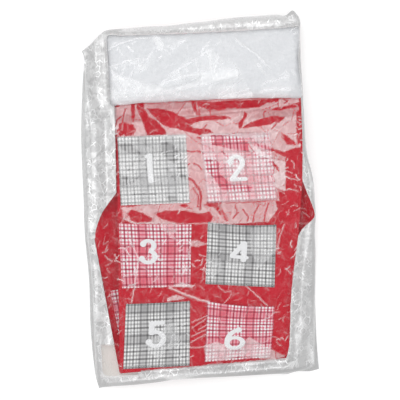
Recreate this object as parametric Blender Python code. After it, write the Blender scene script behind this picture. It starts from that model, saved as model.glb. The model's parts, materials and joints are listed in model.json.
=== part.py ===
"""Advent calendar: a tall felt stocking with a plush cuff and 24 numbered cloth pockets, folded
flat in a clear film bag. Metres, +Z up. The origin is under the middle of the bag, the cuff lies
towards +Y and the pockets of the top panel face up."""

import math

import bmesh
import bpy
from mathutils import Matrix, Vector
from mathutils.geometry import delaunay_2d_cdt

# Sheets and the gaps between them
film = 0.0002
gap = 0.0003
felt = 0.0012
cloth = 0.0005
raised = 0.0003
back_fold_gap = 0.0006
front_fold_gap = 0.0006
fold_clearance = 0.0005
overrun = 0.004
weld = 0.00005

# Cuff
cuff_width = 0.2310
cuff_height = 0.0840
cuff_middle = 0.0122
cuff_low_edge = 0.1185
cuff_back = 0.0040
cuff_front = 0.0110
cuff_draw = 0.0015
seam_allowance = 0.0085
tab_height = 0.0700

# Leg, from the cuff down to the bottom fold and on to the top fold
leg_left = -0.0945
leg_right = 0.1260
bottom_fold_middle = (-0.0060, -0.1990)
bottom_fold_tilt = math.radians(2.0)
bottom_fold_width = 0.1990
lower_length = 0.3980
lower_lean = math.radians(4.86)
top_fold_tilt = math.radians(4.0)
top_fold_width = 0.1900

# Foot and toe
foot_drop = 0.4082
toe_fold_shift = -0.0770
foot_tilt = math.radians(12.0)
toe_fold_length = 0.1650
toe_length = 0.2130

# Pockets
pocket_width = 0.0820
pocket_height = 0.0800
hem = 0.0060
lower_column_pitch = 0.0980
lower_row_pitch = 0.0980
foot_row_pitch = 0.0905
first_row_drop = 0.0510
first_foot_row_drop = 0.0500
toe_pocket_inset = 0.0069
toe_pocket_rise = 0.0188

# Numerals
numeral_height = 0.0340
numeral_stroke = 0.0066
numeral_ball = 0.0046
numeral_gap = 0.0035
arc_steps = 7

# Hanging loop
loop_width = 0.0160
loop_length = 0.0560
ribbon = 0.0006
loop_inset = 0.0150
loop_root = 0.0015

# Bag
bag_end_margin = 0.02075
bag_side_margin = 0.0245
film_lift = 0.0004
film_hold = 0.0090
film_fall = 0.0260

# Edge of the leg at the heel side: share of the way down to the fold, share of the way inwards
taper_shares = ((0.134, 0.0), (0.32, 0.08), (0.53, 0.325), (0.62, 0.485), (0.75, 0.68), (0.843, 0.76), (0.95, 0.846))
# Foot, from the top fold's middle: share of the drop across, share of the drop down
heel_edge_shares = (
    (0.249, 0.1304), (0.2683, 0.228), (0.2928, 0.3257), (0.3345, 0.4213), (0.3457, 0.4508),
    (0.3635, 0.4905), (0.3731, 0.522), (0.365, 0.5377), (0.3467, 0.5552), (0.3248, 0.5861),
    (0.305, 0.6888), (0.2978, 0.8114), (0.2782, 0.8698), (0.2317, 0.9044),
)
instep_edge_shares = (
    (-0.2718, 0.5891), (-0.2646, 0.5606), (-0.2514, 0.5271), (-0.2252, 0.4884), (-0.2071, 0.4584),
    (-0.1995, 0.3999), (-0.2022, 0.3257), (-0.2117, 0.2133), (-0.224, 0.0927),
)
# Toe, from the sole's end of the toe fold: share of its length outwards, share of the fold's length up
toe_edge_shares = (
    (0.28, -0.018), (0.56, -0.012), (0.80, 0.036), (0.94, 0.145), (1.0, 0.30), (0.986, 0.47), (0.92, 0.606),
    (0.80, 0.673), (0.56, 0.691), (0.375, 0.727), (0.19, 0.836), (0.07, 0.94),
)
# Middle of each pocket on the top panel: share of the leg's width off its middle, share of the way down to the fold
top_pocket_shares = (
    (-0.3138, 0.2517), (0.1435, 0.2611), (-0.3286, 0.5767), (0.1365, 0.5903), (-0.337, 0.8728), (0.0985, 0.8623),
)
# Bag outline, as shares of half the bag's width and length: the two sides, and the top edge's height across
bag_left_shares = ((-0.950, -1.0), (-0.963, -0.834), (-0.975, -0.405), (-1.0, -0.057), (-0.971, 0.56), (-0.943, 0.85))
bag_right_shares = ((0.947, -1.0), (0.951, -0.85), (0.936, -0.637), (1.0, -0.117), (0.943, 0.46), (0.936, 0.75), (0.925, 1.0))
bag_top_shares = ((0, 0.845), (0.1, 0.945), (0.3, 0.962), (0.6, 0.98), (0.97, 1.0), (1, 0.965))
bag_bottom_shares = ((0, -1.0), (1, -0.944))
# Pen strokes of each figure as shares of its height, with the caps on their two ends: o is round, b is a
# ball and a dash is none. An arc is its middle, its two radii and its first and last angle in degrees.
figure_shares = {
    "0": (("arc", (0.35, 0.5, 0.24, 0.40, 0, 190), "--"), ("arc", (0.35, 0.5, 0.24, 0.40, 180, 370), "--")),
    "1": (("line", ((0.16, 0.76), (0.30, 0.90)), "oo"), ("line", ((0.30, 0.90), (0.30, 0.12)), "-b")),
    "2": (
        ("arc", (0.35, 0.68, 0.21, 0.22, 165, -38), "b-"),
        ("line", ((0.51, 0.54), (0.16, 0.10)), "oo"),
        ("line", ((0.16, 0.10), (0.56, 0.10)), "-b"),
    ),
    "3": (("arc", (0.31, 0.71, 0.19, 0.19, 155, -80), "b-"), ("arc", (0.31, 0.31, 0.23, 0.21, 85, -155), "-b")),
    "4": (
        ("line", ((0.42, 0.90), (0.12, 0.36)), "bo"),
        ("line", ((0.12, 0.36), (0.64, 0.36)), "-o"),
        ("line", ((0.48, 0.62), (0.48, 0.12)), "ob"),
    ),
    "5": (
        ("line", ((0.54, 0.90), (0.20, 0.90)), "bo"),
        ("line", ((0.20, 0.90), (0.17, 0.55)), "-o"),
        ("arc", (0.31, 0.34, 0.24, 0.24, 125, -155), "-b"),
    ),
    "6": (
        ("arc", (0.35, 0.315, 0.22, 0.215, 0, 190), "--"),
        ("arc", (0.35, 0.315, 0.22, 0.215, 180, 370), "--"),
        ("arc", (0.57, 0.34, 0.44, 0.56, 105, 180), "b-"),
    ),
    "7": (("line", ((0.13, 0.90), (0.57, 0.90)), "bo"), ("line", ((0.57, 0.90), (0.29, 0.12)), "-b")),
    "8": (
        ("arc", (0.35, 0.315, 0.22, 0.215, 0, 190), "--"),
        ("arc", (0.35, 0.315, 0.22, 0.215, 180, 370), "--"),
        ("arc", (0.35, 0.705, 0.19, 0.195, 0, 190), "--"),
        ("arc", (0.35, 0.705, 0.19, 0.195, 180, 370), "--"),
    ),
    "9": (
        ("arc", (0.35, 0.705, 0.19, 0.195, 0, 190), "--"),
        ("arc", (0.35, 0.705, 0.19, 0.195, 180, 370), "--"),
        ("arc", (0.13, 0.66, 0.41, 0.56, 0, -75), "-b"),
    ),
}
# Places of the film's grid lines, as shares of the way across and along
across_shares = (0, 0.006, 0.03, 0.06, 0.1, 0.14, 0.18, 0.26, 0.38, 0.5, 0.62, 0.74, 0.82, 0.86, 0.9, 0.94, 0.97, 0.994, 1)
along_shares = (
    0, 0.01, 0.035, 0.065, 0.1, 0.18, 0.28, 0.38, 0.44, 0.48, 0.54, 0.62, 0.68, 0.71, 0.735, 0.755, 0.78,
    0.83, 0.88, 0.92, 0.95, 0.975, 0.992, 1,
)

# Worked out: how deep a panel is from its back to its numerals, and each panel's back at rest
half = 0.5
panel_depth = 2 * felt + 2 * gap + cloth + raised
toe_back_z = film + gap + panel_depth
foot_back_z = toe_back_z + back_fold_gap
lower_back_z = foot_back_z + panel_depth + front_fold_gap + panel_depth
back_gap = gap + cuff_back + gap
upper_back_z = lower_back_z + back_gap
front_z = upper_back_z + felt + gap
pocket_z = front_z + felt + gap
numerals_z = upper_back_z + panel_depth
cuff_low_z = lower_back_z + gap
cuff_top_z = pocket_z + cuff_front
leg_width = leg_right - leg_left
leg_middle = (leg_left + leg_right) * half
folded_length = cuff_low_edge + cuff_height - bottom_fold_middle[1]
bag_length = folded_length + 2 * bag_end_margin
bag_width = cuff_width + 2 * bag_side_margin

red = (0.62, 0.03, 0.05)
white = (0.86, 0.87, 0.88)
grey_check = (0.52, 0.54, 0.50)
red_check = (0.80, 0.40, 0.42)
clear = (0.92, 0.93, 0.94)


def clear_scene():
    for obj in list(bpy.data.objects):
        bpy.data.objects.remove(obj, do_unlink=True)


def material(name, colour, roughness, alpha=1.0):
    made = bpy.data.materials.new(name)
    made.use_nodes = True
    shader = made.node_tree.nodes["Principled BSDF"]
    shader.inputs["Base Color"].default_value = (*colour, 1)
    shader.inputs["Roughness"].default_value = roughness
    shader.inputs["Metallic"].default_value = 0
    shader.inputs["Alpha"].default_value = alpha
    return made


def at(frame, along, off):
    """A point of the unfolded stocking, given along and off a fold line."""
    point = frame @ Vector((along, off, 0))
    return point.x, point.y


def fold_frame(middle, tilt, height):
    return Matrix.Translation((*middle, height)) @ Matrix.Rotation(tilt, 4, "Z")


def catmull(a, b, c, d, t):
    """A point between b and c of a smooth curve through a, b, c and d."""
    return tuple(
        ((2 * q) + (r - p) * t + (2 * p - 5 * q + 4 * r - s) * t * t + (3 * q - p - 3 * r + s) * t ** 3) * half
        for p, q, r, s in zip(a, b, c, d)
    )


def smooth(points, steps):
    """An open smooth curve through the points, with this many steps for each stretch."""
    ends = [points[0], *points, points[-1]]
    curve = []
    for i in range(len(points) - 1):
        curve += [catmull(*ends[i:i + 4], k / steps) for k in range(steps)]
    return [*curve, points[-1]]


def prism(mesh, outline, low, high):
    """Adds a flat sheet with this outline, given anticlockwise, to a bmesh."""
    under = [mesh.verts.new((x, y, low)) for x, y in outline]
    over = [mesh.verts.new((x, y, high)) for x, y in outline]
    mesh.faces.new(reversed(under))
    mesh.faces.new(over)
    for i, vert in enumerate(under):
        after = (i + 1) % len(under)
        mesh.faces.new((vert, under[after], over[after], over[i]))


def new_object(name, mesh, finish=None):
    bmesh.ops.recalc_face_normals(mesh, faces=mesh.faces)
    data = bpy.data.meshes.new(name)
    mesh.to_mesh(data)
    mesh.free()
    if finish:
        data.materials.append(finish)
    made = bpy.data.objects.new(name, data)
    bpy.context.scene.collection.objects.link(made)
    return made


def settle(made, home, place=None):
    """Hangs a piece, placed on the unfolded stocking, on the fold that carries it."""
    place = place or Matrix.Identity(4)
    if home is None:
        made.matrix_basis = place
        return made
    made.parent = home["empty"]
    made.matrix_basis = home["frame"].inverted() @ place
    return made


def fold(name, frame, home):
    """An empty on a fold line, turned half a turn, so that what hangs on it lies folded over."""
    empty = bpy.data.objects.new(name, None)
    empty.empty_display_size = hem
    bpy.context.scene.collection.objects.link(empty)
    settle(empty, home, frame @ Matrix.Rotation(math.pi, 4, "X"))
    return {"empty": empty, "frame": frame}


def felt_sheet(name, outline, low, home):
    mesh = bmesh.new()
    prism(mesh, outline, low, low + felt)
    return settle(new_object(name, mesh, material(name, red, 0.95)), home)


def panel(name, outline, home):
    """The back and front felt of one panel."""
    felt_sheet(f"{name}_back", outline, upper_back_z, home)
    felt_sheet(f"{name}_front", outline, front_z, home)


def upper_outline(bottom_fold):
    """The top panel, with a narrower tab that goes up into the cuff."""
    reach = bottom_fold_width * half
    corner = at(bottom_fold, reach, fold_clearance)
    drop = cuff_low_edge - corner[1]
    edge = [(leg_right, cuff_low_edge - gap)]
    edge += [(leg_right + share * (corner[0] - leg_right), cuff_low_edge - down * drop) for down, share in taper_shares]
    edge.append(corner)
    tab_right = cuff_middle + cuff_width * half - seam_allowance
    tab_top = cuff_low_edge + tab_height
    return [
        at(bottom_fold, -reach, fold_clearance),
        *reversed(smooth(edge, 2)),
        (tab_right, cuff_low_edge - gap),
        (tab_right, tab_top),
        (leg_left, tab_top),
        (leg_left, cuff_low_edge - gap),
    ]


def lower_outline(bottom_fold, top_fold):
    reach, end = bottom_fold_width * half, top_fold_width * half
    return [
        at(top_fold, -end, fold_clearance),
        at(top_fold, end, fold_clearance),
        at(bottom_fold, reach, -fold_clearance),
        at(bottom_fold, -reach, -fold_clearance),
    ]


def foot_points(top_fold, shares):
    middle = top_fold.translation
    return [(middle.x + across * foot_drop, middle.y - down * foot_drop) for across, down in shares]


def foot_outline(top_fold, foot_frame):
    end = top_fold_width * half
    heel = [at(top_fold, end, -fold_clearance), *foot_points(top_fold, heel_edge_shares)]
    instep = [
        at(foot_frame, fold_clearance, toe_fold_length),
        *foot_points(top_fold, instep_edge_shares),
        at(top_fold, -end, -fold_clearance),
    ]
    return [*smooth(instep, 2), *smooth(heel, 2), at(foot_frame, fold_clearance, 0)]


def toe_outline(foot_frame):
    edge = [(-fold_clearance, 0)]
    edge += [(-out * toe_length, up * toe_fold_length) for out, up in toe_edge_shares]
    edge.append((-fold_clearance, toe_fold_length))
    return [at(foot_frame, *point) for point in reversed(smooth(edge, 2))]


def arc(x, y, across, up, start, end):
    """Points on part of an ellipse, from one angle to another in degrees."""
    steps = max(2, round(arc_steps * abs(end - start) / 180))
    turns = [math.radians(start + (end - start) * k / steps) for k in range(steps + 1)]
    return [(x + across * math.cos(turn), y + up * math.sin(turn)) for turn in turns]


def pen_line(kind, shares):
    return arc(*shares) if kind == "arc" else list(shares)


def pen_outline(points, radius):
    """The outline of one pen stroke with square ends, anticlockwise."""
    left, right = [], []
    for i, point in enumerate(points):
        here = Vector(point)
        before = (here - Vector(points[i - 1])).normalized() if i else Vector((0, 0))
        after = (Vector(points[i + 1]) - here).normalized() if i + 1 < len(points) else Vector((0, 0))
        way = (before + after).normalized()
        side = Vector((-way.y, way.x)) * (radius / max(before.dot(way), after.dot(way)))
        left.append(tuple(here + side))
        right.append(tuple(here - side))
    return [*right, *reversed(left)]


def numeral(figures, name):
    """The raised figures of one number, centred: the pen strokes joined flat and then thickened."""
    caps = {"o": numeral_stroke * half, "b": numeral_ball}
    strokes = [[(pen_line(kind, shares), ends) for kind, shares, ends in figure_shares[figure]] for figure in figures]
    reaches = [[x for line, _ in stroke for x, _ in line] for stroke in strokes]
    spans = [(max(reach) - min(reach)) * numeral_height for reach in reaches]
    step = numeral_stroke + numeral_gap
    start = -(sum(spans) + step * (len(figures) - 1)) * half
    points, areas = [], []
    for stroke, span, reach in zip(strokes, spans, reaches):
        for line, ends in stroke:
            pen = [(start + (x - min(reach)) * numeral_height, (y - half) * numeral_height) for x, y in line]
            discs = [arc(*spot, caps[end], caps[end], 0, 330) for spot, end in zip((pen[0], pen[-1]), ends) if end in caps]
            for area in (pen_outline(pen, numeral_stroke * half), *discs):
                areas.append(list(range(len(points), len(points) + len(area))))
                points += [Vector(point) for point in area]
        start += span + step
    spots, _, faces, _, _, sources = delaunay_2d_cdt(points, [], areas, 1, weld)
    mesh = bmesh.new()
    under = [mesh.verts.new((*spot, cloth * half)) for spot in spots]
    for face, source in zip(faces, sources):
        if source:
            mesh.faces.new([under[i] for i in face])
    bmesh.ops.delete(mesh, geom=[vert for vert in mesh.verts if not vert.link_faces], context="VERTS")
    bmesh.ops.dissolve_limit(mesh, angle_limit=math.radians(1), verts=mesh.verts, edges=mesh.edges)
    lifted = bmesh.ops.extrude_face_region(mesh, geom=mesh.faces[:], use_keep_orig=True)["geom"]
    for vert in lifted:
        if isinstance(vert, bmesh.types.BMVert):
            vert.co.z = cloth + raised
    made = new_object(name, mesh)
    made.hide_render = True
    made.display_type = "WIRE"
    return made


def pocket(number, middle, turn, home, colour):
    """One cloth pocket with a folded hem along its mouth and its raised number."""
    name = f"pocket_{number:02d}"
    reach, rise = pocket_width * half, pocket_height * half
    profile = [(-rise, 0), (rise, 0), (rise, cloth + raised), (rise - hem, cloth + raised), (rise - hem, cloth), (-rise, cloth)]
    mesh = bmesh.new()
    prism(mesh, [(-z, y) for y, z in profile], -reach, reach)
    bmesh.ops.transform(mesh, matrix=Matrix.Rotation(math.pi * half, 4, "Y"), verts=mesh.verts)
    made = new_object(name, mesh, material(name, colour, 0.85))
    figures = numeral(str(number), f"{name}_figures")
    figures.parent = made
    join = made.modifiers.new("numerals", "BOOLEAN")
    join.operation = "UNION"
    join.object = figures
    return settle(made, home, Matrix.Translation((*middle, pocket_z)) @ Matrix.Rotation(turn, 4, "Z"))


def check_colour(row, column):
    return grey_check if (row + column) % 2 == 0 else red_check


def pockets(bottom_fold, top_fold, foot_frame, lower, foot, toe):
    """All 24 pockets, numbered across and then down, as the stocking hangs."""
    drop = cuff_low_edge - bottom_fold.translation.y
    for number, (off, down) in enumerate(top_pocket_shares, 1):
        middle = (leg_middle + off * leg_width, cuff_low_edge - down * drop)
        pocket(number, middle, 0, None, check_colour(*divmod(number - 1, 2)))
    number = len(top_pocket_shares) + 1
    rows = []
    lean = Vector((math.sin(lower_lean), -math.cos(lower_lean)))
    for row in range(4):
        middle = bottom_fold.translation.xy + lean * (first_row_drop + row * lower_row_pitch)
        rows.append((*middle, lower_column_pitch, lower))
    for row in range(3):
        middle = top_fold.translation.xy + lean * (first_foot_row_drop + row * foot_row_pitch)
        rows.append((*middle, lower_column_pitch, foot))
    for row, (x, y, pitch, home) in enumerate(rows):
        for column, side in enumerate((-half, half)):
            pocket(number, (x + side * pitch, y), 0, home, check_colour(row + 1, column))
            number += 1
    for column in range(4):
        along = toe_pocket_inset + pocket_width * half + (column - 2) * lower_column_pitch
        if column < 2:
            along = -toe_pocket_inset - pocket_width * half + (column - 1) * lower_column_pitch
        middle = at(foot_frame, along, toe_pocket_rise + pocket_height * half)
        pocket(number, middle, foot_tilt, toe if column < 2 else foot, check_colour(len(rows), column))
        number += 1


def crown(share, power):
    return (1 - abs(share) ** power) ** (1 / power)


def cuff():
    """The plush cuff: a full pad with a slot that takes the leg's tab, flat where it lies on the panel below."""
    across, along = 26, 12
    seam_z = upper_back_z + panel_depth * half
    reach, rise = cuff_width * half, cuff_height * half
    middle = (cuff_middle, cuff_low_edge + rise)
    mesh = bmesh.new()
    over, under = {}, {}
    for i in range(across + 1):
        for j in range(along + 1):
            u = math.sin((i / across - half) * math.pi)
            v = math.sin((j / along - half) * math.pi)
            x = middle[0] + u * (reach - cuff_draw * (1 - v * v))
            y = middle[1] + v * (rise - cuff_draw * (1 - u * u))
            full, flat = crown(u, 3) * crown(v, 2.6), crown(u, 6) * crown(v, 5)
            over[i, j] = mesh.verts.new((x, y, seam_z + (cuff_top_z - seam_z) * full))
            edge = i in (0, across) or j in (0, along)
            low = seam_z + (cuff_low_z - seam_z) * flat
            under[i, j] = over[i, j] if edge else mesh.verts.new((x, y, low))
    for i in range(across):
        for j in range(along):
            cell = ((i, j), (i + 1, j), (i + 1, j + 1), (i, j + 1))
            mesh.faces.new([over[place] for place in cell])
            mesh.faces.new([under[place] for place in reversed(cell)])
    made = new_object("cuff", mesh, material("cuff", white, 0.98))
    made.data.shade_smooth()
    slot = bmesh.new()
    left, right = leg_left - gap, middle[0] + reach - seam_allowance + gap
    low, high = cuff_low_edge - overrun, cuff_low_edge + tab_height + gap
    prism(slot, [(left, low), (right, low), (right, high), (left, high)], upper_back_z - gap, front_z + felt + gap)
    cutter = new_object("cuff_slot", slot)
    cutter.hide_render = True
    cutter.display_type = "WIRE"
    cut = made.modifiers.new("slot", "BOOLEAN")
    cut.operation = "DIFFERENCE"
    cut.object = cutter


def hanging_loop():
    """A doubled ribbon, sewn at the cuff's heel-side corner and folded down behind it."""
    line = (cuff_middle + cuff_width * half - loop_inset, cuff_low_edge + cuff_height)
    home = fold("loop_fold", fold_frame(line, 0, cuff_low_z - gap * half), None)
    radius = loop_width * half
    top = loop_length - radius
    outline = [(-radius, loop_root), (radius, loop_root), *arc(0, top, radius, radius, 0, 180)]
    mesh = bmesh.new()
    low = cuff_low_z
    prism(mesh, [(line[0] + x, line[1] + y) for x, y in outline], low, low + 2 * ribbon)
    settle(new_object("hanging_loop", mesh, material("hanging_loop", red, 0.7)), home)


def level(curve, place, across=0):
    """The height of an open curve over one place, or its place across at one height."""
    up = 1 - across
    after = next((i for i in range(1, len(curve)) if curve[i][across] >= place), len(curve) - 1)
    a, b = curve[after - 1], curve[after]
    return a[up] + (b[up] - a[up]) * (place - a[across]) / (b[across] - a[across])


def bag_point(across, along):
    """A point of the bag's flat outline or inside it."""
    low, high = level(bag_bottom_shares, across), level(bag_top_shares, across)
    up = low + (high - low) * along
    left, right = level(smooth(bag_left_shares, 4), up, 1), level(smooth(bag_right_shares, 4), up, 1)
    return (left + (right - left) * across) * bag_width * half, up * bag_length * half


def distance(point, polygon):
    """How far a point lies outside a polygon, and zero inside it."""
    x, y = point
    inside, nearest = False, math.inf
    for (x1, y1), (x2, y2) in zip(polygon, [*polygon[1:], polygon[0]]):
        if (y1 > y) != (y2 > y) and x < x1 + (y - y1) * (x2 - x1) / (y2 - y1):
            inside = not inside
        way = Vector((x2 - x1, y2 - y1))
        share = (Vector((x - x1, y - y1)).dot(way)) / max(way.length_squared, gap * gap)
        share = min(max(share, 0), 1)
        nearest = min(nearest, math.hypot(x - x1 - share * way.x, y - y1 - share * way.y))
    return 0 if inside else nearest


def film_height(point, supports):
    """The film's underside: it lies on what is below it and slopes down beside it."""
    ground = film + gap
    height = ground
    for polygon, top, hold, fall in supports:
        away = (distance(point, polygon) - hold) / fall
        share = 1 - min(max(away, 0), 1)
        height = max(height, ground + (top + film_lift - ground) * share * share * (3 - 2 * share))
    return height


def bag(supports):
    mesh = bmesh.new()
    grid = []
    for v in along_shares:
        row = []
        for u in across_shares:
            x, y = bag_point(u, v)
            edge = u in (0, 1) or v in (0, 1)
            row.append(mesh.verts.new((x, y, film + gap if edge else film_height((x, y), supports))))
        grid.append(row)
    for low, high in zip(grid, grid[1:]):
        for i in range(len(low) - 1):
            mesh.faces.new((low[i], low[i + 1], high[i + 1], high[i]))
    rim = [vert.co.xy for vert in grid[0]] + [row[-1].co.xy for row in grid[1:]]
    rim += [vert.co.xy for vert in reversed(grid[-1][:-1])] + [row[0].co.xy for row in reversed(grid[1:-1])]
    front = new_object("bag_front_film", mesh, material("bag_front_film", clear, 0.2, 0.3))
    if front.data.polygons[0].normal.z < 0:
        front.data.flip_normals()
    wall = front.modifiers.new("film", "SOLIDIFY")
    wall.thickness = film
    wall.offset = 1
    back = bmesh.new()
    prism(back, [tuple(point) for point in rim], 0, film)
    new_object("bag_back_film", back, material("bag_back_film", clear, 0.2, 0.3))


def world_outline(outline, home):
    """A panel's outline as it lies folded."""
    bpy.context.view_layer.update()
    place = home["empty"].matrix_world @ home["frame"].inverted()
    return [tuple((place @ Vector((*point, 0))).xy) for point in outline]


def main():
    clear_scene()
    bottom_fold = fold_frame(bottom_fold_middle, bottom_fold_tilt, upper_back_z - back_gap * half)
    low = Vector(bottom_fold_middle) + Vector((math.sin(lower_lean), -math.cos(lower_lean))) * lower_length
    top_fold = fold_frame(low, top_fold_tilt, numerals_z + front_fold_gap * half)
    foot_low = (low.x + toe_fold_shift, low.y - foot_drop)
    foot_frame = fold_frame(foot_low, foot_tilt, upper_back_z - back_fold_gap * half)
    toe_fold = foot_frame @ Matrix.Rotation(math.pi * half, 4, "Z")
    lower = fold("bottom_fold", bottom_fold, None)
    foot = fold("top_fold", top_fold, lower)
    toe = fold("toe_fold", toe_fold, foot)
    panel("upper_leg", upper_outline(bottom_fold), None)
    panel("lower_leg", lower_outline(bottom_fold, top_fold), lower)
    panel("foot", foot_outline(top_fold, foot_frame), foot)
    panel("toe", toe_outline(foot_frame), toe)
    pockets(bottom_fold, top_fold, foot_frame, lower, foot, toe)
    cuff()
    hanging_loop()
    reach = cuff_width * half
    cuff_area = [
        (cuff_middle + side * reach, cuff_low_edge + up * cuff_height) for side, up in ((-1, 0), (1, 0), (1, 1), (-1, 1))
    ]
    foot_area = world_outline(foot_outline(top_fold, foot_frame), foot)
    bag([
        (upper_outline(bottom_fold), numerals_z, film_hold, film_fall),
        (cuff_area, cuff_top_z, film_hold * half, film_fall),
        (foot_area, foot_back_z + panel_depth, film_hold / 3, film_hold),
    ])


main()
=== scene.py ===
"""Looks of the advent calendar: a red felt stocking with a plush cuff and 24 numbered pockets of
checked cloth, folded flat in a crinkled clear film bag. Metres, +Z up, as the CAD part is."""

import json
import math
from collections import namedtuple
from contextlib import contextmanager

import bmesh
import bpy
import numpy as np
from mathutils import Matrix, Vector, noise
from mathutils.bvhtree import BVHTree
from mathutils.geometry import delaunay_2d_cdt

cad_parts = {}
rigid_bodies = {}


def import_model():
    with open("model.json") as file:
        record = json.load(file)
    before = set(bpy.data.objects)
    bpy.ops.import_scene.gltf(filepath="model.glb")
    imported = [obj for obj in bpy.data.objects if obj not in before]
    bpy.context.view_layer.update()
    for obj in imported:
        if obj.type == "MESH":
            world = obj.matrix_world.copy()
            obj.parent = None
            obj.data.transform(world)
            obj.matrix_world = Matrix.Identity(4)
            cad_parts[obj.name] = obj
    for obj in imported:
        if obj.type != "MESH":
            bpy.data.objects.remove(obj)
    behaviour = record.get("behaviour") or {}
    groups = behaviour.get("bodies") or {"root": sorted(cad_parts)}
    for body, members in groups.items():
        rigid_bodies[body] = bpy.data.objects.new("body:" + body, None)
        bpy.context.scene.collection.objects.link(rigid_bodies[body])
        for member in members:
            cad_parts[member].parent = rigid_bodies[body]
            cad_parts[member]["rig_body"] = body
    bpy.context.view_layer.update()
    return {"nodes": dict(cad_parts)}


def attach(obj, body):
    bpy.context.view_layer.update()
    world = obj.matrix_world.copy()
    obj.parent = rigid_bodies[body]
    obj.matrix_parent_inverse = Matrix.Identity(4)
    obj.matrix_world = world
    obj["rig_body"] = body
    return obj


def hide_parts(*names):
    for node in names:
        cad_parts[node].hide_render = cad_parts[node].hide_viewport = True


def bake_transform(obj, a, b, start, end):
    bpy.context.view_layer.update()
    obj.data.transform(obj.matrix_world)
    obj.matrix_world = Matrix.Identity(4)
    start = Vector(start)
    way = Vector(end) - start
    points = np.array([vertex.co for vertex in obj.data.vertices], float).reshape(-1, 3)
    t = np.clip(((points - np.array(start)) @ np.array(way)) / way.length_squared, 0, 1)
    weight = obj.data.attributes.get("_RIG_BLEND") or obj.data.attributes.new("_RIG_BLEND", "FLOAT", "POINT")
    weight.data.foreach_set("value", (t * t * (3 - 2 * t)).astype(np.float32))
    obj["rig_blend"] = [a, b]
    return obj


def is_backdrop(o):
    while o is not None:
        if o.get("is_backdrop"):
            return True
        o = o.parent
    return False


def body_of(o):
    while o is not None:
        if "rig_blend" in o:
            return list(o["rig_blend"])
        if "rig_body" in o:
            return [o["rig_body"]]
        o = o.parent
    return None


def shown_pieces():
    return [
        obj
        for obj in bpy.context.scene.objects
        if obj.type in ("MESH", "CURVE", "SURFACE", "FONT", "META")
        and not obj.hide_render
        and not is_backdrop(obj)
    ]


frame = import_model()
nodes = frame["nodes"]

# Sizes in metres
mm = 0.001
cloth = 0.0005
flock = 0.0003
pocket_wide = 0.082
pocket_tall = 0.080
pocket_count = 24
hidden_number_tall = 0.0325
pile_height = 0.0212
# How thick a pen stroke is across and up, the ball at some strokes' ends, and the gap between two figures
pen = (0.0033, 0.0023)
pen_ball = 0.0038
figure_gap = 0.0034
# How far the stitches' lines lie over the cloth or the felt, a pocket over its felt, a number over its
# cloth and how much of its flock stands free, and half the gap between the ribbon's layers
thread_lift = 0.00006
pocket_lift = 0.00004
number_lift, flock_stand = 0.00003, 0.0001
ribbon_gap = 0.00003

# The check: how much cloth one turn of its UV map covers, the repeat across and down, the lines in it,
# how many of them lie on its broad band, how much of its place a line fills, the weave's pitch, and the
# repeats from the map's corner to where a pocket's check starts, the middle of the band
bolt = 0.200
check_repeat = (0.0328, 0.0386)
check_lines = 8
band_lines = 3
line_share = 0.48
weave_pitch = 0.0009
check_start = 2 + band_lines / 2 / check_lines

# The picture looks straight down, a little turned
picture_turn = math.radians(2.7)
picture_width = 0.480
sensor = 36

# The six pockets on top: middle of each corner, top left, top right, bottom left, bottom right, in mm,
# how far the mouth sags, and where the check starts
top_pockets = {
    1: (((-95.2, 79.9), (-13.2, 79.2), (-94.9, -2.0), (-12.3, -2.8)), 0.3, (29.0, 14.7)),
    2: (((4.0, 78.0), (87.7, 76.6), (8.8, -4.2), (91.6, -3.8)), 0.4, (21.0, 16.0)),
    3: (((-98.0, -23.2), (-11.6, -28.2), (-97.8, -100.9), (-16.4, -102.6)), 0.8, (26.0, 32.7)),
    4: (((8.2, -26.7), (89.7, -33.8), (1.8, -100.6), (84.0, -108.4)), 2.2, (18.0, 6.0)),
    5: (((-94.2, -120.0), (-17.5, -120.2), (-101.0, -197.4), (-21.7, -197.2)), 0.4, (24.0, 6.0)),
    6: (((3.0, -121.2), (83.0, -131.3), (-3.7, -193.3), (76.0, -191.5)), 2.0, (20.7, 14.0)),
}
# Middle and size of the numbers on them, in mm
top_numerals = {
    1: (-58.8, 40.7, 9.6, 34.8),
    2: (46.8, 36.4, 22.6, 31.6),
    3: (-64.6, -57.9, 22.8, 31.8),
    4: (43.9, -62.7, 22.6, 28.0),
    5: (-60.3, -157.8, 23.6, 33.0),
    6: (33.2, -168.0, 25.4, 31.0),
}
# Turn of the other pockets as they lie folded: across and up in degrees, and the side that they face
pocket_turns = {
    "lower": (4.0, -86.0, -1),
    "foot": (-4.0, 86.0, 1),
    "toe": (188.0, 98.0, -1),
    "heel": (8.0, 98.0, 1),
}
first_heel_pocket = 23
grey_numbers = (1, 4, 5, 8, 9, 12, 13, 16, 17, 20, 22, 24)

# Pen strokes of each figure as shares of its height: a line or an arc (middle, radii, first and last
# angle), and the caps at its two ends: o round, b ball, - none


def ring(*middle_and_radii):
    """A closed stroke, drawn as two arcs that overlap a little."""
    return tuple(("arc", (*middle_and_radii, *turn), "--") for turn in ((0, 190), (180, 370)))


def bars(*places):
    """Straight strokes with round ends."""
    return tuple(("line", place, "oo") for place in places)


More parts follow.
